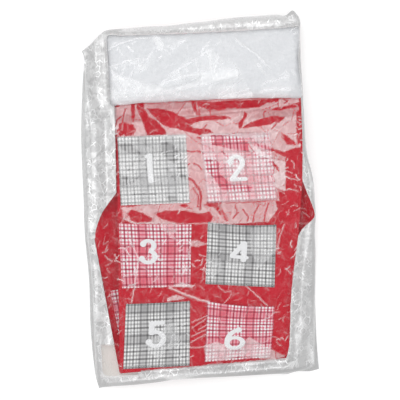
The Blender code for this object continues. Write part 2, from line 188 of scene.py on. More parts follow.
figures = {
    "0": ring(0.35, 0.5, 0.24, 0.39),
    "1": bars(((0.21, 0.86), (0.28, 0.88)), ((0.28, 0.89), (0.28, 0.11))),
    "2": (
        ("arc", (0.36, 0.67, 0.21, 0.22, 168, -35), "b-"),
        *bars(((0.53, 0.55), (0.17, 0.12)), ((0.17, 0.11), (0.62, 0.11))),
    ),
    "3": (
        ("arc", (0.31, 0.71, 0.20, 0.18, 160, -80), "b-"),
        ("arc", (0.31, 0.31, 0.25, 0.21, 88, -160), "-b"),
    ),
    "4": bars(((0.56, 0.89), (0.08, 0.32)), ((0.08, 0.27), (0.66, 0.24)), ((0.58, 0.89), (0.56, 0.12))),
    "5": (
        *bars(((0.54, 0.89), (0.20, 0.89)), ((0.20, 0.89), (0.17, 0.55))),
        ("arc", (0.32, 0.34, 0.25, 0.24, 128, -158), "-b"),
    ),
    "6": (*ring(0.36, 0.32, 0.23, 0.22), ("arc", (0.59, 0.36, 0.46, 0.54, 105, 182), "b-")),
    "7": bars(((0.13, 0.89), (0.58, 0.89)), ((0.58, 0.89), (0.29, 0.12))),
    "8": (*ring(0.35, 0.315, 0.23, 0.215), *ring(0.35, 0.705, 0.19, 0.195)),
    "9": (*ring(0.35, 0.69, 0.22, 0.21), ("arc", (0.12, 0.64, 0.45, 0.54, 2, -76), "-b")),
}

# Outline of the bag in mm, seen from above, as x and y by turns: up its sides, and along its top and
# bottom edges from the left
bag_left = (
    -132, -220.6, -135.6, -203.9, -138, -173.7, -138.8, -137.7, -138, -89.6, -140.3, -41.5, -140.6, -13.8,
    -140, 6.6, -140, 54.6, -139.1, 90.6, -135.4, 138.5, -131.6, 174.4, -133.8, 185.9,
)
bag_right = (
    133.6, -210, 132.6, -186.3, 132.3, -162.2, 133, -126.2, 134.6, -94, 135.8, -66.5, 135.8, -48.6, 137.6,
    -20.9, 136.2, 17.6, 129.9, 53.8, 128.8, 102, 128.4, 138.1, 128.3, 189.2, 130.7, 207.8,
)
bag_top = (
    -133.8, 185.9, -119.9, 195, -110.5, 203.6, -99.7, 208.3, -77.3, 208.7, -50.2, 209.7, -29.2, 209.4, -2,
    211.5, 17.2, 212.4, 37.1, 214.5, 58.2, 215.8, 80.8, 216.2, 100.3, 216.8, 112.3, 215.4, 122.8, 222.6,
    130.7, 207.8,
)
bag_bottom = (
    -132, -220.6, -126.8, -219.6, -109.2, -218.2, -93, -218, -80.2, -217.4, -64, -216, -40.1, -213.5, -10,
    -212.9, 20, -213.6, 50, -213.8, 80.2, -213.6, 94, -214.4, 107.3, -211.7, 122.2, -212.2, 133.6, -210,
)
# Zones of painted glare and milky haze on the pressed film: how milky, and the outline, as x and y by turns in
# mm
glare_and_haze_zones = (
    (0.4, (-101.7, 120.9, -68.4, 120, -33.7, 119.7, 11.6, 118.9, 65, 117.7, 123.6, 115, 122.2, 57.6, 102,
        53.3, 62.8, 71.1, 4.2, 75.2, -17.2, 74.9, -38.4, 77.2, -70.4, 78.7, -99.4, 86.8, -102.6, 102.9)),
    (0.36, (-13, 78.7, -5.1, 75.7, 4.1, 72.6, 6, 56.4, 6.4, 36.4, 9.4, 14.9, 8.5, -3.7, 0.1, -11.4, -9.2,
        -10.9, -15.1, 5.4, -12.6, 15.9, -15, 34.7, -13.7, 64)),
    (0.34, (0, 70.1, 17.3, 69.3, 34.2, 60.5, 51.2, 53, 59, 48.6, 52.9, 31.5, 39.7, 34.8, 28.1, 44.7, 19.6,
        33.1, 19.1, 22.5, 26.7, 14.1, 18.2, 3.8, 7.5, 4.3, 4.6, 25.8, 4.4, 49.9)),
    (0.5, (59.9, 67.3, 72.8, 58.6, 85.7, 47.4, 95.7, 34.9, 96.8, 29.5, 86.7, 40.6, 72.3, 48, 60.7, 56.5)),
    (0.52, (84.3, 46.1, 104.1, 41.1, 102.4, 5.2, 90.6, 11.1, 88.8, 29.8)),
    (0.3, (60.4, 77.9, 88.4, 76.6, 105.2, 65.1, 104.1, 41.1, 84.3, 46.1, 61.1, 64.5)),
    (0.36, (-94.3, -4.2, -82.3, -4.1, -58.2, -2.6, -22.2, -3, -0.8, -3.3, 12.2, -9.3, 25.8, -4.6, 57.8,
        -6.1, 89.8, -6.2, 92, -15.7, 80.7, -29.8, 35.3, -30.4, 11.3, -29.2, -28.7, -27.3, -47.3, -26.5,
        -79.3, -25, -92.3, -19)),
    (0.26, (-52.3, -19.6, -28.7, -27.3, -29.1, -36.7, -37.3, -41.6, -46.3, -33.2)),
    (0.36, (-58.1, -15.3, -42.5, -24, -38.8, -29.5, -53.2, -23.5)),
    (0.26, (-50.5, -23.6, -37.4, -29.6, -30.3, -47.3, -38.1, -42.9)),
    (0.42, (-44.1, -114.7, -33.3, -111.9, -21.5, -115.8, -33.6, -118.5, -44.3, -118.7)),
    (0.42, (-27.3, -96.8, -10.1, -101.6, -14.3, -104.1, -38.2, -101.6)),
    (0.34, (-18.3, -47.9, -4.9, -47.8, 5.5, -53.3, -5.3, -56.5, -14.5, -53.4)),
    (0.4, (32.1, -179.7, 51.4, -165.9, 70.9, -178.9, 93, -190.9, 78.1, -194.6, 38.4, -188, 22.2, -192.6,
        -1.8, -191.5, -3.7, -174, 12.6, -169.4)),
    (0.3, (-48.3, -146.6, -34.8, -144.5, -32.3, -160.7, -36.2, -173.8, -48.3, -175.9, -58.3, -188.8, -72.3,
        -174.8, -71.9, -165.5, -58.2, -159.4)),
    (0.62, (-102.3, 122.6, -101.2, 147.7, -93.6, 154.6, -70, 146.3, -58.3, 139.7, -41.4, 140.1, -31.4,
        149.2, -19, 158.3, -3.9, 172, 7.9, 166.6, 5.5, 117.5)),
    (0.66, (8.4, 177.4, 22.9, 179.1, 35.4, 164.1, 46.2, 164.8, 54, 152.4, 61.7, 136.4, 70.4, 118, 5.7,
        119.9)),
    (0.52, (68, 168.6, 79.4, 156, 86.2, 146.1, 96.6, 138.4, 110.5, 152.2, 113.7, 144.8, 114.1, 126.8, 108.8,
        116.2, 76.4, 117.1, 78.3, 132.1, 86, 141.3, 72.4, 158.8)),
    (0.48, (-50.5, 201.8, -38.8, 196.4, -30.1, 176.8, -39.6, 179.7, -47.3, 193.2)),
    (0.5, (-31.6, 196.1, -7.8, 190.2, -25.3, 177.8)),
    (0.44, (-106.6, 160.6, -83.4, 167.3, -64, 171.8, -48.1, 177.7, -43.5, 173.8, -52.5, 159.9, -64.9, 153.2,
        -77, 151.4, -69.2, 163, -88.5, 161.5)),
    (0.4, (31.6, 187.1, 47.1, 184, 51.6, 176.6, 42.1, 179.4)),
    (0.24, (-94.7, 81.4, -11.9, 78.6, -13.4, -4.2, -93.8, -1.6)),
    (0.28, (4.9, 77.9, 94.8, 74.8, 94.6, -5.7, 7, -3.9)),
    (0.26, (58.4, -36.4, 89.6, -35.5, 89.5, -64.3, 65.7, -84.8, 57.1, -62.8)),
    (0.24, (4.4, -69.9, 21.9, -70.7, 22.4, -85.2, 7.6, -94.1)),
    (0.2, (26.6, -73.3, 56.5, -75.9, 41.4, -90.8, 27.2, -85.4)),
)
# A dull crease along the bottom fold, and where the film lies clear over the paper slip
dull_crease = (-80, -202.6, -80, -200.6, 0, -197.2, 95, -193.1, 96, -199, 0, -202.6)
clear_place = (-127, -168, -84, -169.5, -84, -206.5, -127, -206.8)
# Clear windows in those zones
clear_windows = (
    (-101.8, 120.3, -92.5, 118.5, -90, 115.7, -96.7, 114.7, -101.3, 116.9),
    (-92.3, 95.8, -85.5, 96.8, -75, 93.6, -72.1, 85.5, -75.6, 81, -95.6, 81.9, -100, 88.1, -92.6, 89.1),
    (-76.5, 119.1, -72.2, 118.9, -72, 109.5, -74.6, 97.6, -76.2, 96.4, -77, 108.4),
    (-68.5, 119.4, -61.8, 119, -61.4, 112.4, -55.9, 102.1, -46.8, 96.3, -38, 86.6, -36.3, 79.8, -59.6, 80.2,
        -61.9, 87.7, -64.2, 97.1, -67.8, 105.3, -70.1, 113.4),
    (-58.1, 112.2, -39.5, 110, -27.7, 106.8, -21.2, 102.4, -10.8, 97.3, 1.3, 99.4, 16.1, 100, 34.7, 99.1,
        42.5, 95.4, 29.2, 94.7, 10.5, 94.3, -0.3, 92.8, -8.5, 89.2, -3.3, 86.2, 15.3, 84, 19.1, 79.9, 3,
        77.3, -16.7, 84.2, -35.2, 89.1, -43, 93.5, -50.6, 101.8),
    (-5.1, 118.4, 0.9, 118.1, 0.6, 111.4, 1.7, 106, 6.7, 100.5, 1.4, 101.4, -3.5, 109),
    (2.2, 117.4, 24.8, 115.6, 38.2, 117, 64.9, 115.7, 91.6, 116.5, 102.2, 116, 96.7, 112.2, 84.7, 111.5,
        75.1, 107.2, 57.8, 106.7, 37.8, 107.7, 32.4, 105.9, 13.7, 107.5, 5.9, 111.2, 2, 113.4),
    (89.6, 103.2, 95.1, 105.6, 109.9, 107.6, 123.4, 111, 123.8, 105.6, 109.7, 103.6, 98.9, 102.1),
    (53.3, 82.9, 62.2, 88.5, 73.1, 92.7, 85.3, 95.4, 93.3, 96.4, 98.6, 94.8, 106.6, 94.4, 99.6, 88.1, 92.9,
        88.4, 86.1, 86, 75.4, 84.5, 63.4, 83.8),
    (57.6, 103.4, 61.4, 99.9, 57, 91.4, 52.6, 82.3, 50, 83.7, 50.3, 90.4, 55.9, 95.5),
    (120.1, 99.1, 125.7, 102.9, 125, 60.2, 119.6, 60.4, 118.5, 79.2),
    (100.4, 76, 108.2, 71.7, 115.8, 64.6, 118.3, 60.5, 107.7, 61, 101.4, 69.3),
    (-82.4, -7.5, -69.3, -12.1, -57.6, -19.3, -56.5, -23.4, -76.5, -23.1, -83.1, -20.8, -86.7, -12.6),
    (-53.4, -14.2, -42.6, -10.7, -17.2, -11.9, -2.8, -16.6, 10.7, -14.5, 14.4, -20, 11.4, -27.9, -28.6,
        -26.7, -39.1, -22.8, -49.6, -19.7),
    (7.2, -3.7, 21.9, -3, 24.2, -9.8, 29.2, -18.1, 32.9, -24.9, 30, -28.1, 22.5, -17.7, 13.7, -6.7),
    (-24.9, -4.2, -16.9, -3.9, -9.2, -10.9, -22.4, -7),
    (65.2, 67, 87.5, 57.9, 104.6, 51.8, 104.3, 46.5, 90, 53.8, 74.2, 59.9),
    (84.1, 43.4, 91.9, 39, 96.2, 30.8, 95.5, 28.9, 90.4, 35.1, 84, 41.4),
    (63, 164, 78.1, 153.7, 79, 146.4, 83.7, 143.8, 77.2, 134.5, 75.2, 117.8, 68.3, 122.9, 61.9, 140),
    (-93.9, 71.7, -80.7, 72.3, -73.9, 63.6, -66.9, 59.6, -76.5, 58.9, -90.7, 64.3),
    (-43.5, 71.7, -32.7, 70, -22.5, 58.7, -16.8, 51.2, -14.5, 24.7, -22.7, 27.5, -26.7, 44.5, -36.1, 49.8,
        -44, 59.7),
    (-40.5, 7.9, -28.5, 6.2, -27.7, -1.1, -39.6, 0.7),
    (-94.4, 35.7, -85, 31.6, -80.6, 23, -92.7, 21.2),
    (15.7, 77.3, 49.1, 73.4, 60.7, 64.4, 60.2, 54.8, 38.8, 59.4, 17.5, 65.2),
    (7.2, 50.1, 24.9, 44.5, 24.3, 31.3, 36.9, 17.5, 63.1, 13.8, 60.4, 6.8, 26.9, 10.7, 15.7, 28.1, 8.9,
        35.6),
)
# Lines where the painted glare and haze of the pressed film break off: how wide, and the line
glare_gaps = (
    (2.4, (-12.8, 26.6, -7.6, 23.7, 0.5, 11.3, 1.6, 4.6, -0.5, -11.3)),
    (1.6, (-12.6, 59.3, -6, 57.7, -0.6, 58.8, 7.3, 55.1)),
    (1.4, (-12.7, 42.6, -6.6, 44.4, -0.1, 41.4, 3.7, 36.5)),
    (1.4, (-3.1, -8.5, -1.5, 4.7, -8, 14.4)),
    (1.6, (50.7, -13.7, 57, -23.4, 55.4, -27.3)),
    (1.4, (69.6, -9.3, 63.8, -19.7, 62, -29)),
    (1.6, (81.8, -7.2, 77.2, -19, 75.4, -28.3)),
    (1.4, (41.7, -8, 43.9, -17.4, 38.3, -23.8)),
    (1.4, (-88.2, 96.9, -86.5, 104.9, -83.4, 112.7)),
    (1.4, (-96.4, 92, -94.7, 99.9, -89.2, 103.7)),
    (1.3, (7.3, 84.4, 12.2, 89.5)),
    (1.3, (81.3, 95.6, 80.1, 99.7, 82.9, 102.2)),
    (1.4, (104.8, 114.5, 110.1, 112.9, 106, 110.5)),
    (1.4, (89.9, 81.2, 95.5, 86.9)),
    (1.2, (-83.1, 21.9, -70.6, 32.2, -59.4, 40)),
    (1.2, (-37.8, 39, -32.2, 30.4, -27.6, 25.3)),
    (1.3, (-73.8, 64.7, -67, 56, -49.1, 54)),
    (1.2, (-78.8, 10.9, -59.6, 9.5, -38.1, 6.6)),
    (1.4, (-32.8, 68.8, -21.1, 61.1, -15.2, 60.8)),
    (1.2, (60.7, 64.4, 69.6, 49.6, 86.2, 44, 95.3, 33.9)),
    (1.2, (29.1, 56.3, 38.2, 46.3, 50.1, 43.3)),
)
# Creases with painted highlights: how bright, how wide, and the line
crease_highlights = (
    (0.6, 2, (-86.1, -43.3, -80.1, -57, -76.3, -67.8, -78.4, -77.1, -81, -90.3, -87, -118)),
    (0.7, 3, (-40.9, -102.9, -30.5, -108.7, -17.4, -114.6, -5.6, -119.2, 4.9, -122.4)),
    (0.7, 1.4, (49, -104.4, 61.8, -116.4, 74.5, -129.7)),
    (0.5, 2, (99, -34.7, 93, -49.1, 90.4, -62.3)),
    (0.5, 1.6, (-16.2, -145.4, 2.8, -138.3)),
    (0.5, 1.6, (-16.5, -152.1, 0, -142.2)),
    (0.45, 1.6, (-8.6, -155.1, 5.1, -146.4)),
    (0.5, 1.8, (-17.7, -162.7, 4.8, -153.1)),
    (0.5, 1.8, (-18.7, -169.3, 1.8, -159.6)),
    (0.5, 1.8, (-20.3, -175.9, 3.8, -175)),
    (0.5, 1.6, (17, -104.2, 24.7, -111.3, 32.7, -110.3)),
    (0.45, 1.4, (22.7, -124.5, 29.7, -118.2, 32.6, -111.7)),
    (0.6, 1.4, (-59.5, 110.3, -49.3, 100.4, -37.9, 87.9)),
    (0.6, 1.6, (-104.3, 182.1, -87.2, 189.7, -65.3, 195.3, -50.9, 194.6)),
    (0.6, 1.4, (-106.6, 160.6, -83.4, 167.3, -64, 171.8)),
    (0.7, 1.4, (50.9, 188.6, 61.3, 179.7, 75.3, 169.4, 91.2, 150.7)),
    (0.5, 1.4, (-74.6, 151.3, -66.5, 168.9)),
    (0.5, 1.4, (-64.8, 154.4, -58, 172.1)),
    (0.55, 1.6, (47.2, 161.2, 51.7, 153.7, 52.3, 140.5)),
    (0.5, 1.4, (-92.3, -19, -87.9, -9.9, -82.4, -7.5)),
    (0.5, 1.4, (-57.8, -23.3, -56, -12.7, -46.5, -9.2)),
    (0.55, 1.3, (30, -28.8, 25.2, -16.5, 21.8, -4.4)),
    (0.5, 1.4, (-18.8, -59.8, -11.9, -53.5, -5, -48.5)),
    (0.5, 1.4, (-1.2, -92.7, 0.7, -82.1, 3.6, -75.6)),
)


# Finishes


def set_sockets(node, values):
    """Sets a node's inputs: another node's output as a link, anything else as it is."""
    for name, value in values.items():
        if isinstance(value, bpy.types.NodeSocket):
            node.id_data.links.new(value, node.inputs[name])
        else:
            node.inputs[name].default_value = value


def add_node(tree, kind, sockets=None, **settings):
    node = tree.nodes.new(kind)
    for key, value in settings.items():
        setattr(node, key, value)
    set_sockets(node, sockets or {})
    return node


def finish_named(name, sockets):
    """A new material, its node tree and its shader, which has what is the same all over on its sockets."""
    made = bpy.data.materials.new(name)
    made.use_nodes = True
    shader = made.node_tree.nodes["Principled BSDF"]
    set_sockets(shader, sockets)
    return made, made.node_tree, shader


def object_place(tree, scale=(1, 1, 1), turn=0.0):
    """Object coordinates, turned about +Z and scaled."""
    where = add_node(tree, "ShaderNodeTexCoord").outputs["Object"]
    sockets = {"Vector": where, "Rotation": (0, 0, turn), "Scale": scale}
    return add_node(tree, "ShaderNodeMapping", sockets).outputs["Vector"]


def speckle(tree, place, scale, detail=2.0, rough=0.5):
    sockets = {"Vector": place, "Scale": scale, "Detail": detail, "Roughness": rough}
    return add_node(tree, "ShaderNodeTexNoise", sockets).outputs["Fac"]


def grey(value):
    return (value, value, value)


def graded(tree, value, stops, sharp=False):
    """A colour ramp over a value."""
    ramp = add_node(tree, "ShaderNodeValToRGB", {"Fac": value})
    band = ramp.color_ramp
    band.interpolation = "CONSTANT" if sharp else "LINEAR"
    while len(band.elements) > 1:
        band.elements.remove(band.elements[-1])
    for i, (spot, colour) in enumerate(stops):
        stop = band.elements[0] if i == 0 else band.elements.new(spot)
        stop.position = spot
        stop.color = (*colour, 1)
    return ramp.outputs["Color"]


def reckon(tree, way, *values, clamp=False):
    sockets = dict(enumerate(values))
    return add_node(tree, "ShaderNodeMath", sockets, operation=way, use_clamp=clamp).outputs["Value"]


def product(tree, first, second):
    """Two colours multiplied. The sockets are the mix node's factor and its two colours."""
    sockets = {0: 1.0, 6: first, 7: second}
    return add_node(tree, "ShaderNodeMix", sockets, data_type="RGBA", blend_type="MULTIPLY").outputs[2]


def coat(shader, colour, height=None, strength=0.0, depth=0.0):
    """Gives the shader its colour, and its grain from a height."""
    set_sockets(shader, {"Base Color": colour})
    if height is not None:
        sockets = {"Height": height, "Strength": strength, "Distance": depth}
        bump = add_node(shader.id_data, "ShaderNodeBump", sockets)
        set_sockets(shader, {"Normal": bump.outputs["Normal"]})


def felt_finish():
    """Pressed wool-like felt: short matted fibres, slightly uneven dye."""
    made, tree, shader = finish_named("red_felt", {
        "Roughness": 0.92, "Specular IOR Level": 0.12, "Sheen Weight": 0.12, "Sheen Roughness": 0.5,
        "Sheen Tint": (0.9, 0.35, 0.35, 1),
    })
    place = object_place(tree)
    fibre, mottle = speckle(tree, place, 900, 4, 0.65), speckle(tree, place, 60, 3, 0.6)
    dye = graded(tree, mottle, ((0.30, (0.560, 0.016, 0.030)), (0.70, (0.650, 0.024, 0.044))))
    hairs = graded(tree, fibre, ((0.36, (0.72, 0.68, 0.68)), (0.62, grey(1.0)), (0.80, (1.06, 1.3, 1.3))))
    coat(shader, product(tree, dye, hairs), reckon(tree, "ADD", fibre, mottle), 0.35, 0.0005)
    return made


def check_finish(name, dark, bright, band):
    """Yarn-dyed check: dark and bright lines by turns and one broad band in each repeat, run both ways."""
    made, tree, shader = finish_named(name, {
        "Roughness": 0.85, "Specular IOR Level": 0.2, "Sheen Weight": 0.08,
    })
    where = add_node(tree, "ShaderNodeUVMap").outputs["UV"]
    split = add_node(tree, "ShaderNodeSeparateXYZ", {"Vector": where})
    stops = []
    for k in range(check_lines):
        ground = band if k < band_lines else grey(1)
        line = bright if k % 2 else dark
        for spot, colour in ((0, ground), (0.5 - line_share / 2, line), (0.5 + line_share / 2, ground)):
            stops.append(((k + spot) / check_lines, colour))
    threads, weave = [], []
    for axis, repeat in zip("XY", check_repeat):
        share = reckon(tree, "FRACT", reckon(tree, "MULTIPLY", split.outputs[axis], bolt / repeat))
        threads.append(graded(tree, share, stops, sharp=True))
        turn = reckon(tree, "MULTIPLY", split.outputs[axis], bolt / weave_pitch * math.tau)
        weave.append(reckon(tree, "SINE", turn))
    over = reckon(tree, "MULTIPLY", *weave)
    slub = speckle(tree, object_place(tree), 420, 3, 0.6)
    # A little darker where the threads dip under each other: painted shade of the weave, with the yarn's own
    # uneven tone
    yarn = reckon(tree, "MULTIPLY_ADD", over, 0.10, slub)
    weave_shade_and_slub = graded(tree, yarn, ((0.25, grey(0.80)), (0.75, (0.94, 0.94, 0.935))))
    coat(shader, product(tree, product(tree, *threads), weave_shade_and_slub), over, 0.35, 0.0002)
    return made


def grained_finish(name, sockets, grain, stops, relief=()):
    """One fine grain, given as a speckle's scale, detail and roughness, in the colour and in the relief."""
    made, tree, shader = finish_named(name, sockets)
    fine = speckle(tree, object_place(tree), *grain)
    coat(shader, graded(tree, fine, stops), fine if relief else None, *relief)
    return made


def flock_finish():
    """Raised white flock of the numbers."""
    sockets = {"Roughness": 0.95, "Specular IOR Level": 0.1, "Sheen Weight": 0.2}
    stops = ((0.3, (0.74, 0.74, 0.755)), (0.7, (0.86, 0.86, 0.87)))
    return grained_finish("white_flock", sockets, (1400, 3, 0.6), stops, (0.4, 0.0003))


def plush_finish():
    """Short white plush with a soft, brushed pile."""
    made, tree, shader = finish_named("white_plush", {
        "Roughness": 1.0, "Specular IOR Level": 0.08, "Sheen Weight": 0.35, "Sheen Roughness": 0.6,
    })
    place = object_place(tree)
    tufts, pile = speckle(tree, place, 260, 4, 0.7), speckle(tree, place, 1100, 3, 0.7)
    shade = graded(tree, tufts, ((0.30, (0.73, 0.745, 0.77)), (0.70, (0.80, 0.81, 0.835))))
    fine = graded(tree, pile, ((0.3, grey(0.95)), (0.7, grey(1.02))))
    coat(shader, product(tree, shade, fine), reckon(tree, "ADD", tufts, pile), 0.4, 0.0006)
    return made


def ribbon_finish():
    """Ribbed red ribbon, darker in the grooves between its ribs: painted shade."""
    made, tree, shader = finish_named("red_ribbon", {"Roughness": 0.45, "Sheen Weight": 0.15})
    split = add_node(tree, "ShaderNodeSeparateXYZ", {"Vector": object_place(tree)})
    ribs = reckon(tree, "SINE", reckon(tree, "MULTIPLY", split.outputs["Y"], math.tau / 0.0011))
    share = reckon(tree, "MULTIPLY_ADD", ribs, 0.5, 0.5)
    # Painted shade: the red is darker where the ribs dip
    dye = graded(tree, share, ((0.0, (0.42, 0.015, 0.022)), (1.0, (0.62, 0.03, 0.045))))
    coat(shader, dye, ribs, 0.4, 0.0002)
    return made


def thread_finish(name, colour):
    """Twisted sewing thread, darker in fine random flecks."""
    stops = ((0.35, tuple(0.8 * part for part in colour)), (0.65, colour))
    return grained_finish(name, {"Roughness": 0.6}, (2600,), stops)


def film_finish(name, rough):
    """Thin clear film. How milky it is with haze and painted glare, its tone with painted light, and how much
    painted sparkle it has come with the piece.
    """
    made, tree, shader = finish_named(name, {"Metallic": 0.45, "Roughness": rough, "IOR": 1.5})
    milk, tone, wrinkle = (
        add_node(tree, "ShaderNodeAttribute", attribute_name=label).outputs["Fac"]
        for label in ("milk", "tone", "wrinkle")
    )
    place = object_place(tree, (1, 0.68, 0), 0.35)
    bent = add_node(tree, "ShaderNodeTexNoise", {"Vector": place, "Scale": 34, "Detail": 2}).outputs["Color"]
    sockets = {0: bent, 1: (0.014, 0.014, 0), 2: place}
    moved = add_node(tree, "ShaderNodeVectorMath", sockets, operation="MULTIPLY_ADD").outputs["Vector"]
    grain = add_node(
        tree, "ShaderNodeTexVoronoi", {"Vector": moved, "Scale": 210}, voronoi_dimensions="2D",
        feature="DISTANCE_TO_EDGE",
    ).outputs["Distance"]
    line = graded(tree, grain, ((0.0, grey(1)), (0.05, grey(0.85)), (0.12, grey(0))))
    broken = graded(tree, speckle(tree, place, 120, 1), ((0.48, grey(0)), (0.60, grey(1))))
    painted_gleam = reckon(tree, "MULTIPLY", reckon(tree, "MULTIPLY", line, broken), wrinkle)
    # Painted sparkle: broken lines along the cells' edges, scaled by the piece's sparkle, make the film more
    # opaque and lighter there
    set_sockets(shader, {"Alpha": reckon(tree, "MULTIPLY_ADD", painted_gleam, 0.30, milk, clamp=True)})
    bright = reckon(tree, "MULTIPLY_ADD", painted_gleam, 0.60, tone, clamp=True)
    shade = graded(tree, bright, ((0.0, (0.03, 0.032, 0.034)), (1.0, (0.97, 0.975, 0.98))))
    coat(shader, shade, grain, 0.25, 0.0005)
    return made


def paper_finish():
    """Uncoated cream paper."""
    stops = ((0.3, (0.93, 0.93, 0.88)), (0.7, (0.97, 0.97, 0.925)))
    return grained_finish("cream_paper", {"Roughness": 0.9}, (500, 4, 0.6), stops, (0.2, 0.0002))


red_felt = felt_finish()
grey_check = check_finish("grey_check_cloth", (0.38, 0.375, 0.38), (0.62, 0.615, 0.62), (0.67, 0.665, 0.67))
red_check = check_finish("red_check_cloth", (0.60, 0.155, 0.225), (0.88, 0.38, 0.46), (0.93, 0.42, 0.48))
white_flock = flock_finish()
white_plush = plush_finish()
red_ribbon = ribbon_finish()
white_thread = thread_finish("white_thread", (0.80, 0.79, 0.77))
cream_paper = paper_finish()
red_thread = thread_finish("red_thread", (0.50, 0.025, 0.035))
clear_film = film_finish("clear_film", 0.30)
dull_film = film_finish("dull_film", 0.40)


# Cut sheets


def heading(angle):
    """The flat direction at an angle in radians."""
    return math.cos(angle), math.sin(angle)


def sway(x, y):
    """How far the folded pile rises or sinks at one place, at the height of its top sheet."""
    slow = noise.noise(Vector((x * 9 + 3.1, y * 7 + 1.7, 0.4)))
    quick = noise.noise(Vector((x * 25 + 7.9, y * 22 + 4.2, 2.6)))
    return 0.0012 * slow + 0.0005 * quick


def settled(x, y, z):
    """The height that a flat height comes to where the folded pile isn't even."""
    return z + sway(x, y) * z / pile_height


def at_height(z):
    """The function that lays a flat place in the folded pile at one height."""
    return lambda x, y: (x, y, settled(x, y, z))


def merged(node):
    """A copy of a CAD node's mesh, its doubles merged."""
    mesh = bmesh.new()
    mesh.from_mesh(nodes[node].data)
    bmesh.ops.remove_doubles(mesh, verts=mesh.verts, dist=0.00002)
    return mesh


def box_of(node):
    """The lowest and the highest corner of a CAD node's box."""
    corners = np.array([corner[:] for corner in nodes[node].bound_box])
    return corners.min(axis=0), corners.max(axis=0)


def cad_outline(node):
    """A flat CAD sheet's outline, anticlockwise from above, and its lowest and highest z."""
    mesh = merged(node)
    follow = {}
    for face in mesh.faces:
        if face.normal.z < 0.9:
            continue
        for loop in face.loops:
            if loop.link_loop_radial_next.face.normal.z < 0.9:
                follow[loop.vert] = loop.link_loop_next.vert
    first = next(iter(follow))
    outline, here = [(first.co.x, first.co.y)], follow[first]
    while here is not first:
        outline.append((here.co.x, here.co.y))
        here = follow[here]
    heights = [vert.co.z for vert in mesh.verts]
    mesh.free()
    return outline, min(heights), max(heights)


def stepped(line, step, closed=False):
    """The same line with points no further apart than this."""
    ends = [*line, line[0]] if closed else list(line)
    made = []
    for a, b in zip(ends, ends[1:]):
        count = max(1, math.ceil(math.dist(a, b) / step))
        made += [tuple(p + (q - p) * k / count for p, q in zip(a, b)) for k in range(count)]
    return made if closed else [*made, ends[-1]]


def net_over(areas, step):
    """Triangles over the union of some outlines, with inner points in even rows."""
    points, rims = [], []
    for area in areas:
        rim = stepped(area, step, closed=True)
        rims.append(list(range(len(points), len(points) + len(rim))))
        points += rim
    rows = np.array(points)
    low, high = rows.min(axis=0), rows.max(axis=0)
    inner = []
    for j, y in enumerate(np.arange(low[1] + step / 2, high[1], step * 0.87)):
        for x in np.arange(low[0] + step * (0.25 + 0.5 * (j % 2)), high[0], step):
            if np.hypot(rows[:, 0] - x, rows[:, 1] - y).min() > step * 0.55:
                inner.append((x, y))
    spots = [Vector(point) for point in (*points, *inner)]
    verts, _, faces, _, _, sources = delaunay_2d_cdt(spots, [], rims, 1, 1e-6)
    kept = [tuple(face) for face, source in zip(faces, sources) if source]
    used = sorted({i for face in kept for i in face})
    place = {old: new for new, old in enumerate(used)}
    return [tuple(verts[i]) for i in used], [tuple(place[i] for i in face) for face in kept]


def placed(name, data):
    """A new object in the scene."""
    made = bpy.data.objects.new(name, data)
    bpy.context.scene.collection.objects.link(made)
    return made


def mesh_of(name, verts, edges, faces):
    data = bpy.data.meshes.new(name)
    data.from_pydata(verts, edges, faces)
    return data


def new_piece(name, verts, faces, finish):
    data = mesh_of(name, verts, [], faces)
    data.validate()
    data.update()
    data.materials.append(finish)
    data.shade_smooth()
    return placed(name, data)


@contextmanager
def reshaped(piece):
    """Opens a piece's mesh for changes and writes it back."""
    mesh = bmesh.new()
    mesh.from_mesh(piece.data)
    yield mesh
    mesh.to_mesh(piece.data)
    mesh.free()


def layered(points, faces, under, over):
    """A sheet with a thickness: each point's place on its two sides, the faces seen from over."""
    count = len(points)
    verts = [under(*point) for point in points] + [over(*point) for point in points]
    sides = {(a, b) for face in faces for a, b in zip(face, (*face[1:], face[0]))}
    made = [tuple(i + count for i in face) for face in faces]
    made += [tuple(reversed(face)) for face in faces]
    made += [(a, b, b + count, a + count) for a, b in sides if (b, a) not in sides]
    return verts, made


def sharpen(piece, degrees=40):
    """Keeps cut edges crisp where the rest is smooth."""
    with reshaped(piece) as mesh:
        for edge in mesh.edges:
            if len(edge.link_faces) == 2 and edge.calc_face_angle(0) > math.radians(degrees):
                edge.smooth = False


def stand_in(piece, body, node):
    """The piece moves with a body and shows in place of a CAD node."""
    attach(piece, body)
    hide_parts(node)


felt_rims = {}


def felt_piece(name, node, body):
    outline, low, high = felt_rims[node] = cad_outline(node)
    piece = new_piece(name, *layered(*net_over([outline], 0.004), at_height(low), at_height(high)), red_felt)
    sharpen(piece)
    stand_in(piece, body, node)
    rows = np.array(outline)


for body, stem in (("upper", "upper_leg"), ("lower", "lower_leg"), ("foot", "foot"), ("toe", "toe")):
    for side in ("front", "back"):
        felt_piece(f"{stem}_{side}_felt", f"{stem}_{side}", body)


# Folds between the panels

# Each fold: the two bodies, its middle, its line's turn in degrees, which side of the line it bulges to,
# half its width, its height, the radii of the two bent sheets and how far they are pressed flat
felt_folds = {
    "bottom_fold_felt": (
        ("upper", "lower"), (-0.006, -0.199), 2, -1, 0.0994, 0.0154,
        ((0.0023, 0.0035), (0.0038, 0.0050)), 0.06,
    ),
    "top_fold_felt": (
        ("lower", "foot"), (0.0, 0.19896), 0, 1, 0.0949, 0.0090,
        ((0.0014, 0.0026), (0.0029, 0.0041)), 0.35,
    ),
    "toe_fold_felt": (
        ("foot", "toe"), (-0.1167918, -0.1211829), 98, 1, 0.0824, 0.0046,
        ((0.0003, 0.0015), (0.0018, 0.0030)), 0.35,
    ),
}
fold_overlap = 0.00042


